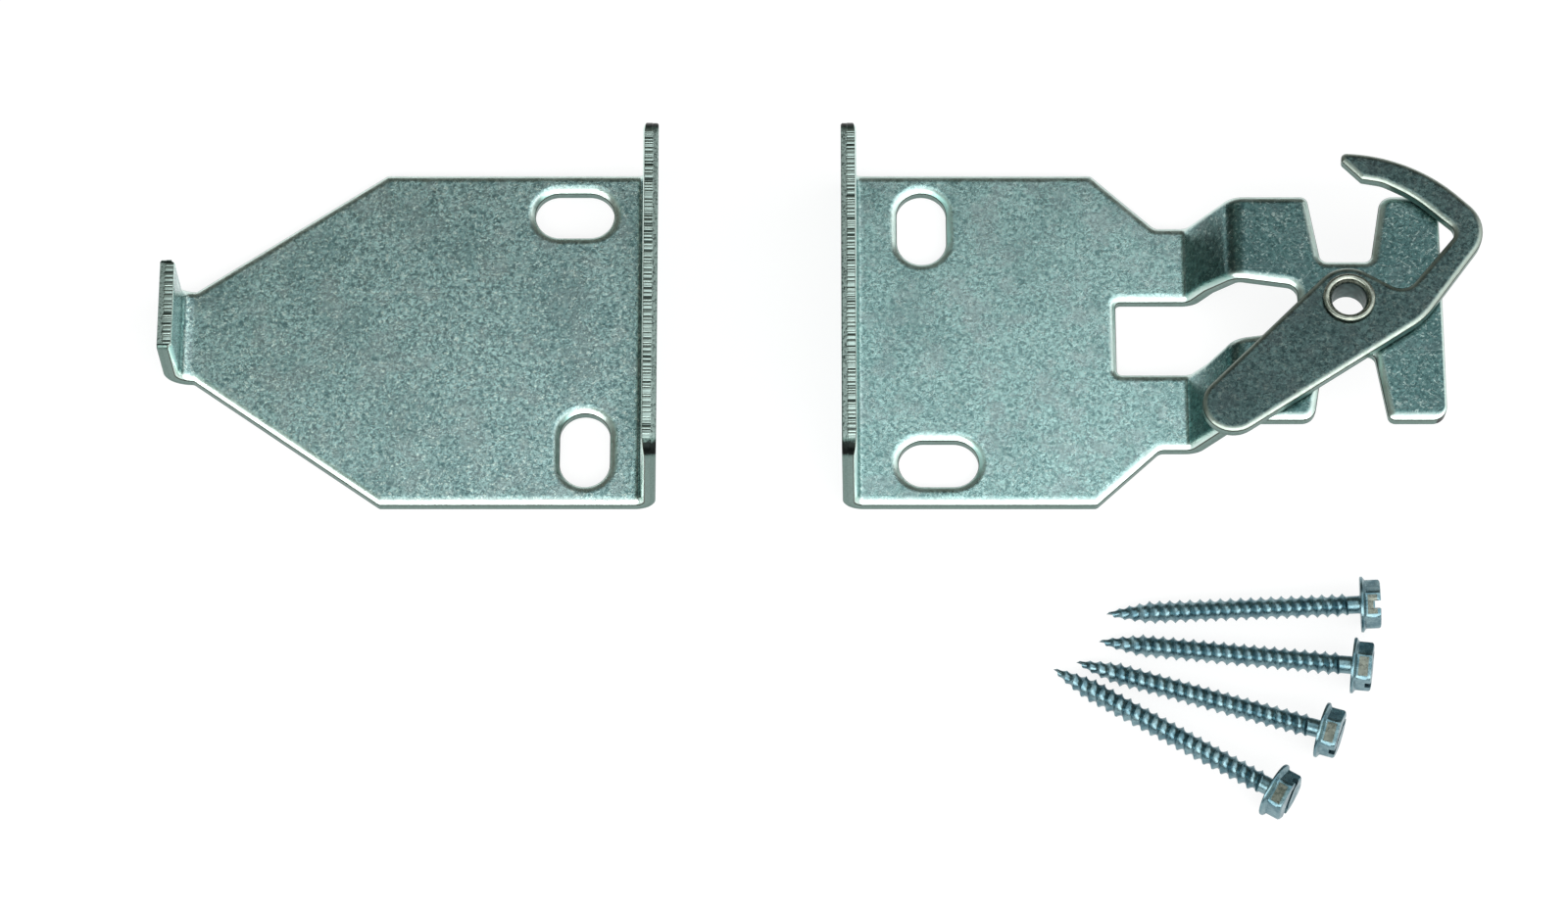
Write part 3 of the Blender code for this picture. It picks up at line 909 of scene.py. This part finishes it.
@dataclass
class Strike(Pressing):
    """The strike bracket: x runs from the outer face of its flange, its tab at minus x."""

    name: ClassVar[str] = "strike_plate"
    sheet: SheetSizes
    length: float = 74.0 * MM
    lean: float = math.radians(1.3)
    shoulder_x: float = 41.3 * MM
    neck_x: float = 69.8 * MM
    neck_height: float = 14.9 * MM
    neck_rise: float = 0.4 * MM
    level_slot_x: float = 12.6 * MM
    upright_slot_x: float = 10.6 * MM
    tab_height: float = 13.6 * MM
    tab_lean: float = math.radians(1.5)
    tab_bend_radius: float = 1.8 * MM
    tab_corner: float = 0.8 * MM
    soft_corner: float = 0.8 * MM

    def mesh(self) -> BMesh:
        """Return the folded bracket."""
        turn, radius, setback = self.sheet.bend(self.lean, self.sheet.bend_radius)
        tab_turn, tab_radius, tab_setback = self.sheet.bend(self.tab_lean, self.tab_bend_radius)
        flange_end = -setback + self.sheet.reach(self.sheet.flange, turn, radius)
        tab_bend = -(self.length - tab_setback)
        tab_end = tab_bend - self.sheet.reach(self.tab_height, tab_turn, tab_radius)
        half = self.sheet.height / 2
        top = self.neck_rise + self.neck_height / 2
        foot = self.neck_rise - self.neck_height / 2
        outline = Outline([
            Corner(tab_end, top, self.tab_corner),
            Corner(tab_end, foot, self.tab_corner),
            Corner(-self.neck_x, foot, self.soft_corner),
            Corner(-self.shoulder_x, -half, self.soft_corner),
            Corner(flange_end, -half, self.sheet.flange_corner),
            Corner(flange_end, half, self.sheet.flange_corner),
            Corner(-self.shoulder_x, half, self.soft_corner),
            Corner(-self.neck_x, top, self.soft_corner),
        ], sheared_ends=True)
        holes = [self.sheet.slot(-self.level_slot_x, 1, False),
                 self.sheet.slot(-self.upright_slot_x, -1, True)]
        datum = -self.shoulder_x
        fold = Fold(datum, [Bend(datum - tab_bend, tab_turn, tab_radius)],
                    [Bend(-setback - datum, turn, radius)])
        return Blank(outline, holes, self.sheet.rim()).build(fold)


@dataclass
class Latch(Pressing):
    """The latch bracket: x runs from the outer face of its flange, its raised plate at high x."""

    name: ClassVar[str] = "latch_plate"
    sheet: SheetSizes
    length: float = 89.7 * MM
    lean: float = math.radians(0.9)
    shoulder_x: float = 38.0 * MM
    neck_x: float = 47.6 * MM
    neck_height: float = 37.0 * MM
    shoulder_corner: float = 1.0 * MM
    neck_corner: float = 1.5 * MM
    level_slot_x: float = 14.35 * MM
    upright_slot_x: float = 12.1 * MM
    joggle_x: float = 51.4 * MM
    rise: float = 11.0 * MM
    joggle_angle: float = math.radians(60)
    lower_radius: float = 1.0 * MM
    upper_radius: float = 1.5 * MM
    window_x: float = 41.4 * MM
    window_height: float = 12.1 * MM
    window_end_height: float = 7.4 * MM
    window_corner: float = 0.8 * MM
    window_end_corner: float = 1.8 * MM
    window_to_pivot: float = 7.4 * MM
    pivot_to_end: float = 14.2 * MM
    notch_mouth: float = 11.1 * MM
    notch_floor: float = 7.5 * MM
    notch_to_pivot: float = 7.6 * MM
    notch_corner: float = 1.2 * MM
    prong_corner: float = 2.2 * MM
    prong_inner_corner: float = 1.2 * MM
    hole: float = 6.3 * MM

    def joggle(self) -> tuple[list[Bend], float]:
        """Return the joggle's bends and how much longer the sheet is than its level reach."""
        lower = self.lower_radius + self.sheet.thickness / 2
        upper = self.upper_radius + self.sheet.thickness / 2
        angle = self.joggle_angle
        straight = (self.rise - (lower + upper) * (1 - math.cos(angle))) / math.sin(angle)
        second = lower * angle + straight
        level = (lower + upper) * math.sin(angle) + straight * math.cos(angle)
        return [Bend(0.0, angle, lower), Bend(second, -angle, upper)], second + upper * angle - level

    def notch(self, pivot: float, side: int) -> list[Corner]:
        """Return the corners of the notch above (side 1) or below (side -1) the pivot."""
        edge = side * self.neck_height / 2
        floor = side * self.notch_to_pivot
        return [
            Corner(pivot + side * self.notch_mouth / 2, edge, self.prong_corner),
            Corner(pivot + side * self.notch_floor / 2, floor, self.notch_corner),
            Corner(pivot - side * self.notch_floor / 2, floor, self.notch_corner),
            Corner(pivot - side * self.notch_mouth / 2, edge, self.prong_inner_corner),
        ]

    def mesh(self) -> BMesh:
        """Return the folded bracket."""
        turn, radius, setback = self.sheet.bend(self.lean, self.sheet.bend_radius)
        joggle, spare = self.joggle()
        start = setback - self.sheet.reach(self.sheet.flange, turn, radius)
        end = self.length + spare
        pivot = end - self.pivot_to_end
        half = self.sheet.height / 2
        neck = self.neck_height / 2
        corners = [Corner(self.neck_x, neck, self.neck_corner),
                   Corner(self.shoulder_x, half, self.shoulder_corner),
                   Corner(start, half, self.sheet.flange_corner),
                   Corner(start, -half, self.sheet.flange_corner),
                   Corner(self.shoulder_x, -half, self.shoulder_corner),
                   Corner(self.neck_x, -neck, self.neck_corner)]
        corners += self.notch(pivot, -1)
        corners += [Corner(end, -neck, self.prong_corner), Corner(end, neck, self.prong_corner)]
        corners += self.notch(pivot, 1)
        taper_x = self.joggle_x + joggle[1].start / 2
        window_end = pivot - self.window_to_pivot
        window = Outline([
            Corner(self.window_x, self.window_height / 2, self.window_corner),
            Corner(self.window_x, -self.window_height / 2, self.window_corner),
            Corner(taper_x, -self.window_height / 2),
            Corner(window_end, -self.window_end_height / 2, self.window_end_corner),
            Corner(window_end, self.window_end_height / 2, self.window_end_corner),
            Corner(taper_x, self.window_height / 2),
        ], hole=True)
        reach = self.hole / 2
        holes = [self.sheet.slot(self.level_slot_x, -1, False),
                 self.sheet.slot(self.upright_slot_x, 1, True),
                 window, Outline.cutout(pivot, 0.0, reach, reach, reach)]
        fold = Fold(self.joggle_x, [Bend(self.joggle_x - setback, turn, radius)], joggle)
        return Blank(Outline(corners, sheared_ends=True), holes, self.sheet.rim()).build(fold)


def tangent_corner(x: float, y: float, radius: float, first: float, second: float) -> Corner:
    """Return where two tangents of a circle cross.

    Args:
        x: The circle's middle.
        y: The circle's middle.
        radius: The circle's radius.
        first: The angle at which the first tangent touches it.
        second: The angle at which the second touches it.

    Returns:
        The corner, rounded to the circle.
    """
    half = (second - first) / 2
    arm = radius / math.cos(half)
    return Corner(x + arm * math.cos(first + half), y + arm * math.sin(first + half), radius)


@dataclass
class Hook(Pressing):
    """The hook and its lever in one flat blank: x and y run from the pivot."""

    name: ClassVar[str] = "hook_blade"
    thickness: float = 2.2 * MM
    roll: float = 0.85 * MM
    boss_radius: float = 5.3 * MM
    boss_leaves: float = math.radians(60)
    lever_length: float = 24.6 * MM
    lever_angle: float = math.radians(-136.3)
    lever_end_radius: float = 4.5 * MM
    lever_lower_edge: float = math.radians(34.1)
    hole: float = 6.3 * MM

    def mesh(self) -> BMesh:
        """Return the blank."""
        end_x = self.lever_length * math.cos(self.lever_angle)
        end_y = self.lever_length * math.sin(self.lever_angle)
        spread = math.asin((self.boss_radius - self.lever_end_radius) / self.lever_length)
        cap = self.lever_angle + 2 * math.pi
        upper = cap - math.pi / 2 + spread
        lower = self.lever_lower_edge + 1.5 * math.pi
        corners = [
            tangent_corner(0.0, 0.0, self.boss_radius, self.boss_leaves, upper),
            tangent_corner(end_x, end_y, self.lever_end_radius, upper, cap),
            tangent_corner(end_x, end_y, self.lever_end_radius, cap, lower),
        ]
        # The arm's corners, each as x, y and radius in millimetres.
        outer = ((11.26, -3.06, 12.0), (22.33, 12.20, 5.75), (10.18, 24.05, 27.0))
        tip = ((-0.45, 24.50, 0.9), (-0.25, 23.10, 0.5), (2.60, 20.15, 0.5))
        throat = ((5.70, 19.60, 5.0), (10.29, 17.26, 20.0), (16.80, 11.30, 1.6), (8.56, 1.18, 2.7))
        corners += [Corner(x * MM, y * MM, radius * MM) for x, y, radius in outer + tip + throat]
        reach = self.hole / 2
        hole = Outline.cutout(0.0, 0.0, reach, reach, reach)
        return Blank(Outline(corners), [hole], PunchedRim(self.thickness, self.roll)).build()


@dataclass
class Rivet:
    """The hollow rivet, turned about Z; z = 0 is the raised plate's upper face.

    Each rim is a rolled bead, which leads into the bore by a short flare.
    """

    bore: float = 5.1 * MM
    wall: float = 0.5 * MM
    rim: float = 7.8 * MM
    rim_height: float = 0.7 * MM
    rim_gap: float = 0.2 * MM
    bead: float = 0.48 * MM
    bead_start: float = math.radians(-80)
    bead_step: float = math.radians(15)
    bead_points: int = 18
    sides: int = 96

    def profile(self, low: float, high: float) -> list[tuple[float, float]]:
        """Work out the rivet's section.

        Args:
            low: The height of the lower rim's seat.
            high: The height of the upper rim's seat.

        Returns:
            Its radii and heights.
        """
        middle = self.rim / 2 - self.bead
        half = self.rim_height / 2
        angles = [self.bead_start + self.bead_step * i for i in range(self.bead_points)]
        points = [(middle + self.bead * math.cos(angle), half * (1 + math.sin(angle))) for angle in angles]
        bore = self.bore / 2
        points += [(bore + 0.20 * MM, 0.16 * MM), (bore + 0.08 * MM, -0.10 * MM), (bore, -0.5 * MM)]
        tube = bore + self.wall
        upper = [(tube, high), *[(radius, high + height) for radius, height in points]]
        lower = [(tube, low), *[(radius, low - height) for radius, height in points]]
        return upper + lower[::-1]

    def mesh(self, low: float, high: float) -> BMesh:
        """Turn the rivet.

        Args:
            low: The height of the lower rim's seat.
            high: The height of the upper rim's seat.

        Returns:
            A closed mesh with material 1, which paints shade, inside the bore and 0 elsewhere.
        """
        bm = bmesh.new()
        verts = [bm.verts.new((radius, 0.0, height)) for radius, height in self.profile(low, high)]
        edges = [bm.edges.new((vert, verts[(i + 1) % len(verts)])) for i, vert in enumerate(verts)]
        bmesh.ops.spin(bm, geom=verts + edges, cent=(0, 0, 0), axis=(0, 0, 1), dvec=(0, 0, 0),
                       angle=2 * math.pi, steps=self.sides, use_merge=True, use_duplicate=False)
        bmesh.ops.remove_doubles(bm, verts=bm.verts[:], dist=TOUCH)
        bmesh.ops.recalc_face_normals(bm, faces=bm.faces[:])
        for face in bm.faces:
            middle = face.calc_center_median()
            # Painted shade: faces inside the bore take the darker material.
            face.material_index = int(math.hypot(middle.x, middle.y) < self.bore / 2 + 0.07 * MM)
        return bm

    def build(self, place: Matrix, low: float, high: float, finish: Material,
              inside: Material) -> Object:
        """Build and dress the rivet."""
        return finish_mesh("hollow_rivet", self.mesh(low, high), place, (finish, inside))


@dataclass
class Screw:
    """A slotted hexagon washer-head self-tapping screw; z = 0 is its washer's underside.

    The thread's flanks rise by crest_power from its root, and run out into the neck over fade.
    The point narrows by point_power, down to tip_share of its length. The hexagon's corners are
    rounded to corner_share, and its top is rounded over crown.
    """

    length: float = 37.6 * MM
    major: float = 3.5 * MM
    core: float = 2.45 * MM
    pitch: float = 1.5 * MM
    point: float = 6.5 * MM
    neck_length: float = 1.6 * MM
    neck: float = 2.65 * MM
    washer: float = 8.3 * MM
    washer_thickness: float = 0.75 * MM
    flats: float = 6.35 * MM
    head: float = 3.0 * MM
    crown: float = 0.33 * MM
    corner_share: float = 0.985
    facet_border: float = 0.22 * MM
    hex_turn: float = math.radians(24)
    drive_width: float = 1.2 * MM
    drive_depth: float = 0.9 * MM
    crest_power: float = 1.8
    point_power: float = 0.66
    tip_share: float = 0.015
    fade: float = 0.6 * MM
    thread_sides: int = 36
    thread_steps: int = 10
    head_sides: int = 72

    def thread(self, bm: BMesh) -> list[BMEdge]:
        """Roll the thread and its point.

        Args:
            bm: The mesh that takes it.

        Returns:
            The edges of its upper end.
        """
        turns = math.floor((self.length - self.neck_length) / self.pitch)
        rise = self.pitch / self.thread_steps
        deep = (self.major - self.core) / 2
        verts = []
        for i in range(self.thread_steps + 1):
            share = abs(2 * i / self.thread_steps - 1) ** self.crest_power
            verts.append(bm.verts.new((self.core / 2 + deep * share, 0.0, rise * i - self.length)))
        edges = [bm.edges.new(pair) for pair in zip(verts, verts[1:])]
        bmesh.ops.spin(bm, geom=verts + edges, cent=(0, 0, 0), axis=(0, 0, 1),
                       dvec=(0, 0, self.pitch / self.thread_sides), angle=2 * math.pi,
                       steps=self.thread_sides, use_merge=False, use_duplicate=False)
        turn = bm.verts[:] + bm.edges[:] + bm.faces[:]
        for number in range(1, turns):
            copy = bmesh.ops.duplicate(bm, geom=turn)["geom"]
            raised = [item for item in copy if isinstance(item, BMVert)]
            bmesh.ops.translate(bm, vec=(0, 0, self.pitch * number), verts=raised)
        bmesh.ops.remove_doubles(bm, verts=bm.verts[:], dist=WELD)
        fade_end = turns * self.pitch - self.length
        fade_start = fade_end - self.fade
        for vert in bm.verts:
            radius = math.hypot(vert.co.x, vert.co.y)
            share = min(1.0, max(0.0, (vert.co.z - fade_start) / (fade_end - fade_start)))
            share = share * share * (3 - 2 * share)
            wanted = radius + (self.neck / 2 - radius) * share
            along = max(self.tip_share, (vert.co.z + self.length) / self.point)
            wanted *= min(1.0, along ** self.point_power)
            vert.co.x *= wanted / radius
            vert.co.y *= wanted / radius
        rims = [edge for edge in bm.edges if edge.is_boundary]
        middle = -self.length / 2
        bmesh.ops.holes_fill(bm, edges=[edge for edge in rims if edge.verts[0].co.z < middle], sides=0)
        return [edge for edge in rims if edge.verts[0].co.z > middle]

    def _section(self, angle: float, round_radius: float, flat: float) -> float:
        """Return the radius at an angle of a section that is round, or a hexagon where flat isn't 0."""
        if not flat:
            return round_radius
        off_flat = (angle + math.pi / 6) % (math.pi / 3) - math.pi / 6
        return min(flat / math.cos(off_flat), round_radius)

    def body(self, bm: BMesh) -> list[BMEdge]:
        """Raise the neck, washer and hexagon.

        Args:
            bm: The mesh that takes them.

        Returns:
            The edges of their lower end.
        """
        neck, washer, flat = self.neck / 2, self.washer / 2, self.flats / 2
        corner = flat / math.cos(math.pi / 6) * self.corner_share
        top, disc = self.head, self.washer_thickness
        # Each level's height, its radius, and half its width across the flats or 0 where it is round.
        levels = (
            (-0.35 * MM, neck, 0.0), (-0.12 * MM, neck + 0.03 * MM, 0.0),
            (0.0, neck + 0.15 * MM, 0.0), (0.0, washer - 0.16 * MM, 0.0),
            (0.04 * MM, washer - 0.04 * MM, 0.0), (0.14 * MM, washer, 0.0),
            (0.34 * MM, washer, 0.0), (0.44 * MM, washer - 0.06 * MM, 0.0),
            (0.50 * MM, washer - 0.18 * MM, 0.0), (disc - 0.04 * MM, corner + 0.05 * MM, flat * 1.04),
            (disc + 0.08 * MM, corner, flat), (top - 0.32 * MM, corner, flat),
            (top - 0.10 * MM, corner - 0.16 * MM, flat - 0.02 * MM),
            (top - 0.02 * MM, corner - 0.42 * MM, flat - 0.12 * MM),
            (top, corner - 0.62 * MM, flat - 0.25 * MM),
            (top, flat * 0.72, 0.0), (top - 0.10 * MM, flat * 0.55, 0.0),
        )
        made = bmesh.ops.create_circle(bm, cap_ends=False, radius=neck, segments=self.head_sides)
        edges = list({edge for vert in made["verts"] for edge in vert.link_edges})
        first = edges
        self._shape(made["verts"], levels[0])
        for level in levels[1:]:
            raised, edges, _ = extrude(bm, edges)
            self._shape(raised, level)
        bmesh.ops.holes_fill(bm, edges=edges, sides=0)
        return first

    def _shape(self, verts: Sequence[BMVert], level: tuple[float, float, float]) -> None:
        """Move a ring of points onto one level of the head."""
        height, round_radius, flat = level
        for vert in verts:
            angle = math.atan2(vert.co.y, vert.co.x)
            radius = self._section(angle - self.hex_turn, round_radius, flat)
            vert.co = (radius * math.cos(angle), radius * math.sin(angle), height)

    def drive(self, bm: BMesh, turn: float) -> None:
        """Mill the slot across the head.

        Args:
            bm: The mesh.
            turn: The way the slot runs, as an angle about Z.
        """
        across = Vector((-math.sin(turn), math.cos(turn), 0.0))
        floor = self.head - self.drive_depth
        half = self.drive_width / 2
        up = Vector((0, 0, 1))
        cuts = [(across * half, across), (across * -half, across), (up * floor, up)]
        for point, normal in cuts:
            head = [vert for vert in bm.verts if vert.co.z > self.washer_thickness]
            faces = {face for vert in head for face in vert.link_faces}
            edges = {edge for face in faces for edge in face.edges}
            verts = {vert for face in faces for vert in face.verts}
            bmesh.ops.bisect_plane(bm, geom=list(verts) + list(edges) + list(faces), dist=TOUCH,
                                   plane_co=point, plane_no=normal)
        slab = [face for face in bm.faces if abs(face.calc_center_median().dot(across)) < half - WELD
                and face.calc_center_median().z > floor + WELD]
        sides = [face for face in slab if face.calc_center_median().z < self.head - self.crown]
        crown = [face for face in slab if face not in sides]
        bmesh.ops.delete(bm, geom=sides, context="FACES")
        rim = [edge for edge in bm.edges if sum(face in crown for face in edge.link_faces) == 1]
        sunk, bottom, walls = extrude(bm, rim)
        for vert in sunk:
            vert.co.z = floor
        ends = [face for face in walls if abs(face.calc_center_median().dot(across)) < half - WELD]
        bmesh.ops.delete(bm, geom=ends + crown, context="FACES_ONLY")
        bmesh.ops.holes_fill(bm, edges=[edge for edge in bottom if edge.is_valid], sides=0)
        loose = [edge for edge in bm.edges if not edge.link_faces]
        bmesh.ops.delete(bm, geom=loose, context="EDGES")
        bmesh.ops.remove_doubles(bm, verts=bm.verts[:], dist=WELD)

    def painted_shade_facet(self, bm: BMesh) -> None:
        """Paint shade on one facet of the hexagon: a darker patch inside its edges, where that facet should
        look dim.

        Args:
            bm: The mesh.
        """
        turn = self.hex_turn + math.pi
        outward = Vector((math.cos(turn), math.sin(turn), 0.0))
        low, high = self.washer_thickness + 0.1 * MM, self.head - self.crown
        patch = []
        for face in bm.faces:
            middle = face.calc_center_median()
            if low < middle.z < high and abs(middle.dot(outward) - self.flats / 2) < 0.02 * MM:
                patch.append(face)
        bmesh.ops.inset_region(bm, faces=patch, thickness=self.facet_border, use_even_offset=True)
        # Painted shade: this facet's patch takes the darker facet material.
        for face in patch:
            face.material_index = 1

    def mesh(self, drive_turn: float) -> BMesh:
        """Return the whole screw."""
        bm = bmesh.new()
        upper = self.thread(bm)
        lower = self.body(bm)
        bmesh.ops.bridge_loops(bm, edges=upper + lower)
        self.drive(bm, drive_turn)
        self.painted_shade_facet(bm)
        bmesh.ops.recalc_face_normals(bm, faces=bm.faces[:])
        return bm

    def place(self, point: Vector, heading: float) -> Matrix:
        """Return where the screw lies, on its washer's rim and its first full turn of thread.

        Args:
            point: The place of its point on the table.
            heading: The way from its point to its head, as an angle about Z.

        Returns:
            The matrix that carries the upright screw there.
        """
        tilt = math.asin((self.washer - self.major) / 2 / (self.length - self.point))
        turned = Matrix.Rotation(heading, 4, "Z") @ Matrix.Rotation(math.pi / 2 - tilt, 4, "Y")
        seat = point + turned.to_3x3() @ Vector((0, 0, self.length))
        seat.z = point.z + self.washer / 2 * math.cos(tilt)
        return Matrix.Translation(seat) @ turned

    def build(self, number: int, place: Matrix, drive_turn: float, finish: Material,
              shaded_facet: Material) -> Object:
        """Build and dress one screw."""
        return finish_mesh(f"screw_{number}", self.mesh(drive_turn), place, (finish, shaded_facet))


@dataclass(frozen=True)
class ScrewPlace:
    """Where a screw lies, from the latch's corner: its point, its heading and its slot's turn."""

    x: float
    y: float
    heading: float
    drive: float


# Studio

@dataclass(frozen=True)
class Panel:
    """A soft light panel that faces a point.

    Attributes:
        name: Its name.
        direction: The way to it from the point.
        distance: How far away it is.
        size: Its width and height.
        radiance: How bright it looks.
        colour: Its colour.
    """

    name: str
    direction: tuple[float, float, float]
    distance: float
    size: tuple[float, float]
    radiance: float
    colour: str = "#ffffff"

    def hang(self, centre: Vector) -> None:
        """Hang the panel.

        Args:
            centre: The point that it faces.
        """
        light = bpy.data.lights.new(self.name, "AREA")
        light.shape = "RECTANGLE"
        light.size, light.size_y = self.size
        light.energy = self.radiance * math.pi * self.size[0] * self.size[1]
        light.color = srgb(self.colour)[:3]
        lamp = bpy.data.objects.new(self.name, light)
        way = Vector(self.direction).normalized()
        lamp.location = centre + way * self.distance
        side = (Vector((1, 0, 0)) - way * way.x).normalized()
        lamp.rotation_euler = Matrix((side, way.cross(side), way)).transposed().to_euler()
        bpy.context.scene.collection.objects.link(lamp)


@dataclass
class Studio:
    """The floor, the lights and the camera.

    Attributes:
        tilt: The camera's angle from straight down.
        distance: How far the camera is from the point that it aims at.
        view_width: The width that it sees there.
        sensor: The camera's sensor width, in millimetres.
        aim: The point that it aims at, from the set's middle.
        floor_size: The floor's side.
        floor_colour: The floor's own colour.
        floor_glow: How brightly the floor is lit from below.
        world_colour: The colour of the light from all round.
        world_strength: How bright that light is.
        panels: The light panels.
    """

    tilt: float = math.radians(24)
    distance: float = 957.5 * MM
    view_width: float = 235.7 * MM
    sensor: float = 36.0
    aim: tuple[float, float] = (-5.6 * MM, 7.0 * MM)
    floor_size: float = 4.0
    floor_colour: str = "#727272"
    floor_glow: float = 0.85
    world_colour: str = "#8d8f86"
    world_strength: float = 0.45
    panels: tuple[Panel, ...] = (
        Panel("overhead_panel", (0.34, 0.035, 0.93), 1.0, (1.15, 0.90), 1.42, "#f6fcff"),
        Panel("front_panel", (0.0, -0.743, 0.669), 1.3, (3.6, 0.85), 3.6),
        Panel("side_panel", (0.88, 0.0, 0.47), 1.2, (0.85, 1.6), 1.1),
        Panel("left_panel", (-0.45, 0.0, 0.89), 1.0, (0.5, 1.2), 0.28, "#e6fff6"),
    )

    def set_up(self, centre: Vector) -> None:
        """Lay the floor, hang the lights and place the camera.

        Args:
            centre: The middle of the set's box, on the floor.
        """
        self._floor(centre)
        world = bpy.data.worlds.new("studio")
        world.use_nodes = True
        background = world.node_tree.nodes["Background"]
        background.inputs["Color"].default_value = srgb(self.world_colour)
        background.inputs["Strength"].default_value = self.world_strength
        bpy.context.scene.world = world
        for panel in self.panels:
            panel.hang(centre)
        camera = bpy.data.cameras.new("camera")
        camera.sensor_width = self.sensor
        camera.lens = self.sensor * self.distance / self.view_width
        camera.clip_start = 0.01
        eye = bpy.data.objects.new("camera", camera)
        target = centre + Vector((*self.aim, 0.0))
        eye.location = target + Vector((0, -math.sin(self.tilt), math.cos(self.tilt))) * self.distance
        eye.rotation_euler = (self.tilt, 0.0, 0.0)
        bpy.context.scene.collection.objects.link(eye)
        bpy.context.scene.camera = eye
        bpy.context.scene.view_settings.view_transform = "Standard"

    def _floor(self, centre: Vector) -> None:
        """Lay the floor: opal acrylic lit from below, so that shadows stay faint.

        Args:
            centre: The middle of the floor.
        """
        bm = bmesh.new()
        bmesh.ops.create_grid(bm, x_segments=1, y_segments=1, size=self.floor_size / 2)
        material = bpy.data.materials.new("opal_acrylic")
        material.use_nodes = True
        shader = material.node_tree.nodes["Principled BSDF"]
        shader.inputs["Base Color"].default_value = srgb(self.floor_colour)
        shader.inputs["Roughness"].default_value = 0.9
        shader.inputs["Emission Color"].default_value = (1.0, 1.0, 1.0, 1.0)
        shader.inputs["Emission Strength"].default_value = self.floor_glow
        floor = finish_mesh("floor", bm, Matrix.Translation(centre), (material,))
        floor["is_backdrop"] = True


def pivot_place() -> Vector:
    """Return the middle of the hook's pivot, from the frame's joint."""
    joint = next(joint for joint in frame["joints"] if joint["name"] == "hook_pivot")
    return Vector(joint["pos_m"])


def add_piece(piece: Object, node: str, body: str) -> None:
    """Let a piece stand for a CAD node.

    Args:
        piece: The piece.
        node: The CAD node that it replaces.
        body: The CAD body that it rides on.
    """
    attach(piece, body)
    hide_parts(node)
    LOG.info("%s stands for %s on %s: %d faces", piece.name, node, body, len(piece.data.polygons))


def main() -> None:
    """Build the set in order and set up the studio."""
    logging.basicConfig(level=logging.INFO, format="%(name)s: %(message)s")
    cad_box = [list(corner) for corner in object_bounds()]
    low, high = (Vector(corner) for corner in cad_box)
    centre = Vector(((low.x + high.x) / 2, (low.y + high.y) / 2, low.z))
    Studio().set_up(centre)

    sheet = SheetSizes()
    latch = Latch(sheet)
    hook = Hook()
    rivet = Rivet()
    pivot = pivot_place()
    corner = Vector((pivot.x - (latch.length - latch.pivot_to_end), pivot.y, low.z))
    spacing = 28.1 * MM
    rest_gap = 0.3 * MM
    plate_top = latch.rise + sheet.thickness
    axis = Vector((pivot.x, pivot.y, low.z + plate_top))

    edge = PunchedEdge("punched_edge", "#bfd3cc", "#a6b9b3", "#6f8881", "#3f4b47", "#121413").make()
    strike_face = TumbledZinc("tumbled_zinc_strike", "#c8eae7", "#628688", "#b0bcbb", "#e8faf2", 0.23,
                              score=Vector((-62 * MM, 32.9 * MM))).make()
    # Painted shade on the latch: its raised plate and ramp are darkened past axis.x - 25 mm.
    latch_face = TumbledZinc("tumbled_zinc_latch", "#c2e7e3", "#6e9393", "#b0bcbd", "#e4f6ef", 0.25,
                             "#98a6a7", axis.x - 25 * MM, glint_strength=0.5, far_glint_strength=0.42).make()
    hook_face = TumbledZinc("tumbled_zinc_hook", "#657e7c", "#334546", "#505859", "#aebab0", 0.28,
                            glint_strength=0.25, scratches=0.2).make()
    rivet_finish = BlueZinc("clenched_zinc", "#b6bbae", "#8d948a", 0.26, 1.2 * MM, 0.002 * MM).make()
    # Painted shade: a much darker zinc inside the bore.
    bore_shade_finish = BlueZinc("shaded_bore_zinc", "#4d6260", "#324341", 0.42, 1.0 * MM, 0.006 * MM).make()
    screw_finish = BlueZinc("blue_zinc_screw", "#7f9ba1", "#567680", 0.30, 1.5 * MM, 0.002 * MM).make()
    # Painted shade: the darker material for the one hexagon facet that should look dim.
    facet_shade_finish = BlueZinc("dull_facet_zinc", "#7b8178", "#636a63", 0.30, 1.0 * MM, 0.002 * MM).make()

    pressings = (
        (Strike(sheet), corner - Vector((spacing, 0, 0)), strike_face, "strike_bracket", "strike"),
        (latch, corner, latch_face, "latch_bracket", "latch"),
        (hook, axis + Vector((0, 0, rest_gap)), hook_face, "hook_lever", "hook"),
    )
    for pressing, spot, face, node, body in pressings:
        piece = pressing.build(Matrix.Translation(spot), face, edge)
        add_piece(piece, node, body)
    low_seat = -sheet.thickness - rivet.rim_gap
    high_seat = rest_gap + hook.thickness + rivet.rim_gap
    rivet_piece = rivet.build(Matrix.Translation(axis), low_seat, high_seat, rivet_finish, bore_shade_finish)
    add_piece(rivet_piece, "pivot_eyelet", "latch")

    places = (
        ScrewPlace(39.0 * MM, -44.9 * MM, math.radians(0.5), math.radians(24)),
        ScrewPlace(37.8 * MM, -49.3 * MM, math.radians(-7.6), math.radians(84)),
        ScrewPlace(34.4 * MM, -52.6 * MM, math.radians(-18.4), math.radians(84)),
        ScrewPlace(31.0 * MM, -53.7 * MM, math.radians(-32.4), math.radians(144)),
    )
    screw = Screw()
    for number, where in enumerate(places, 1):
        place = screw.place(corner + Vector((where.x, where.y, 0)), where.heading)
        piece = screw.build(number, place, where.drive, screw_finish, facet_shade_finish)
        add_piece(piece, f"mounting_screw_{number}", f"screw_{number}")


if __name__ == "__main__":
    main()
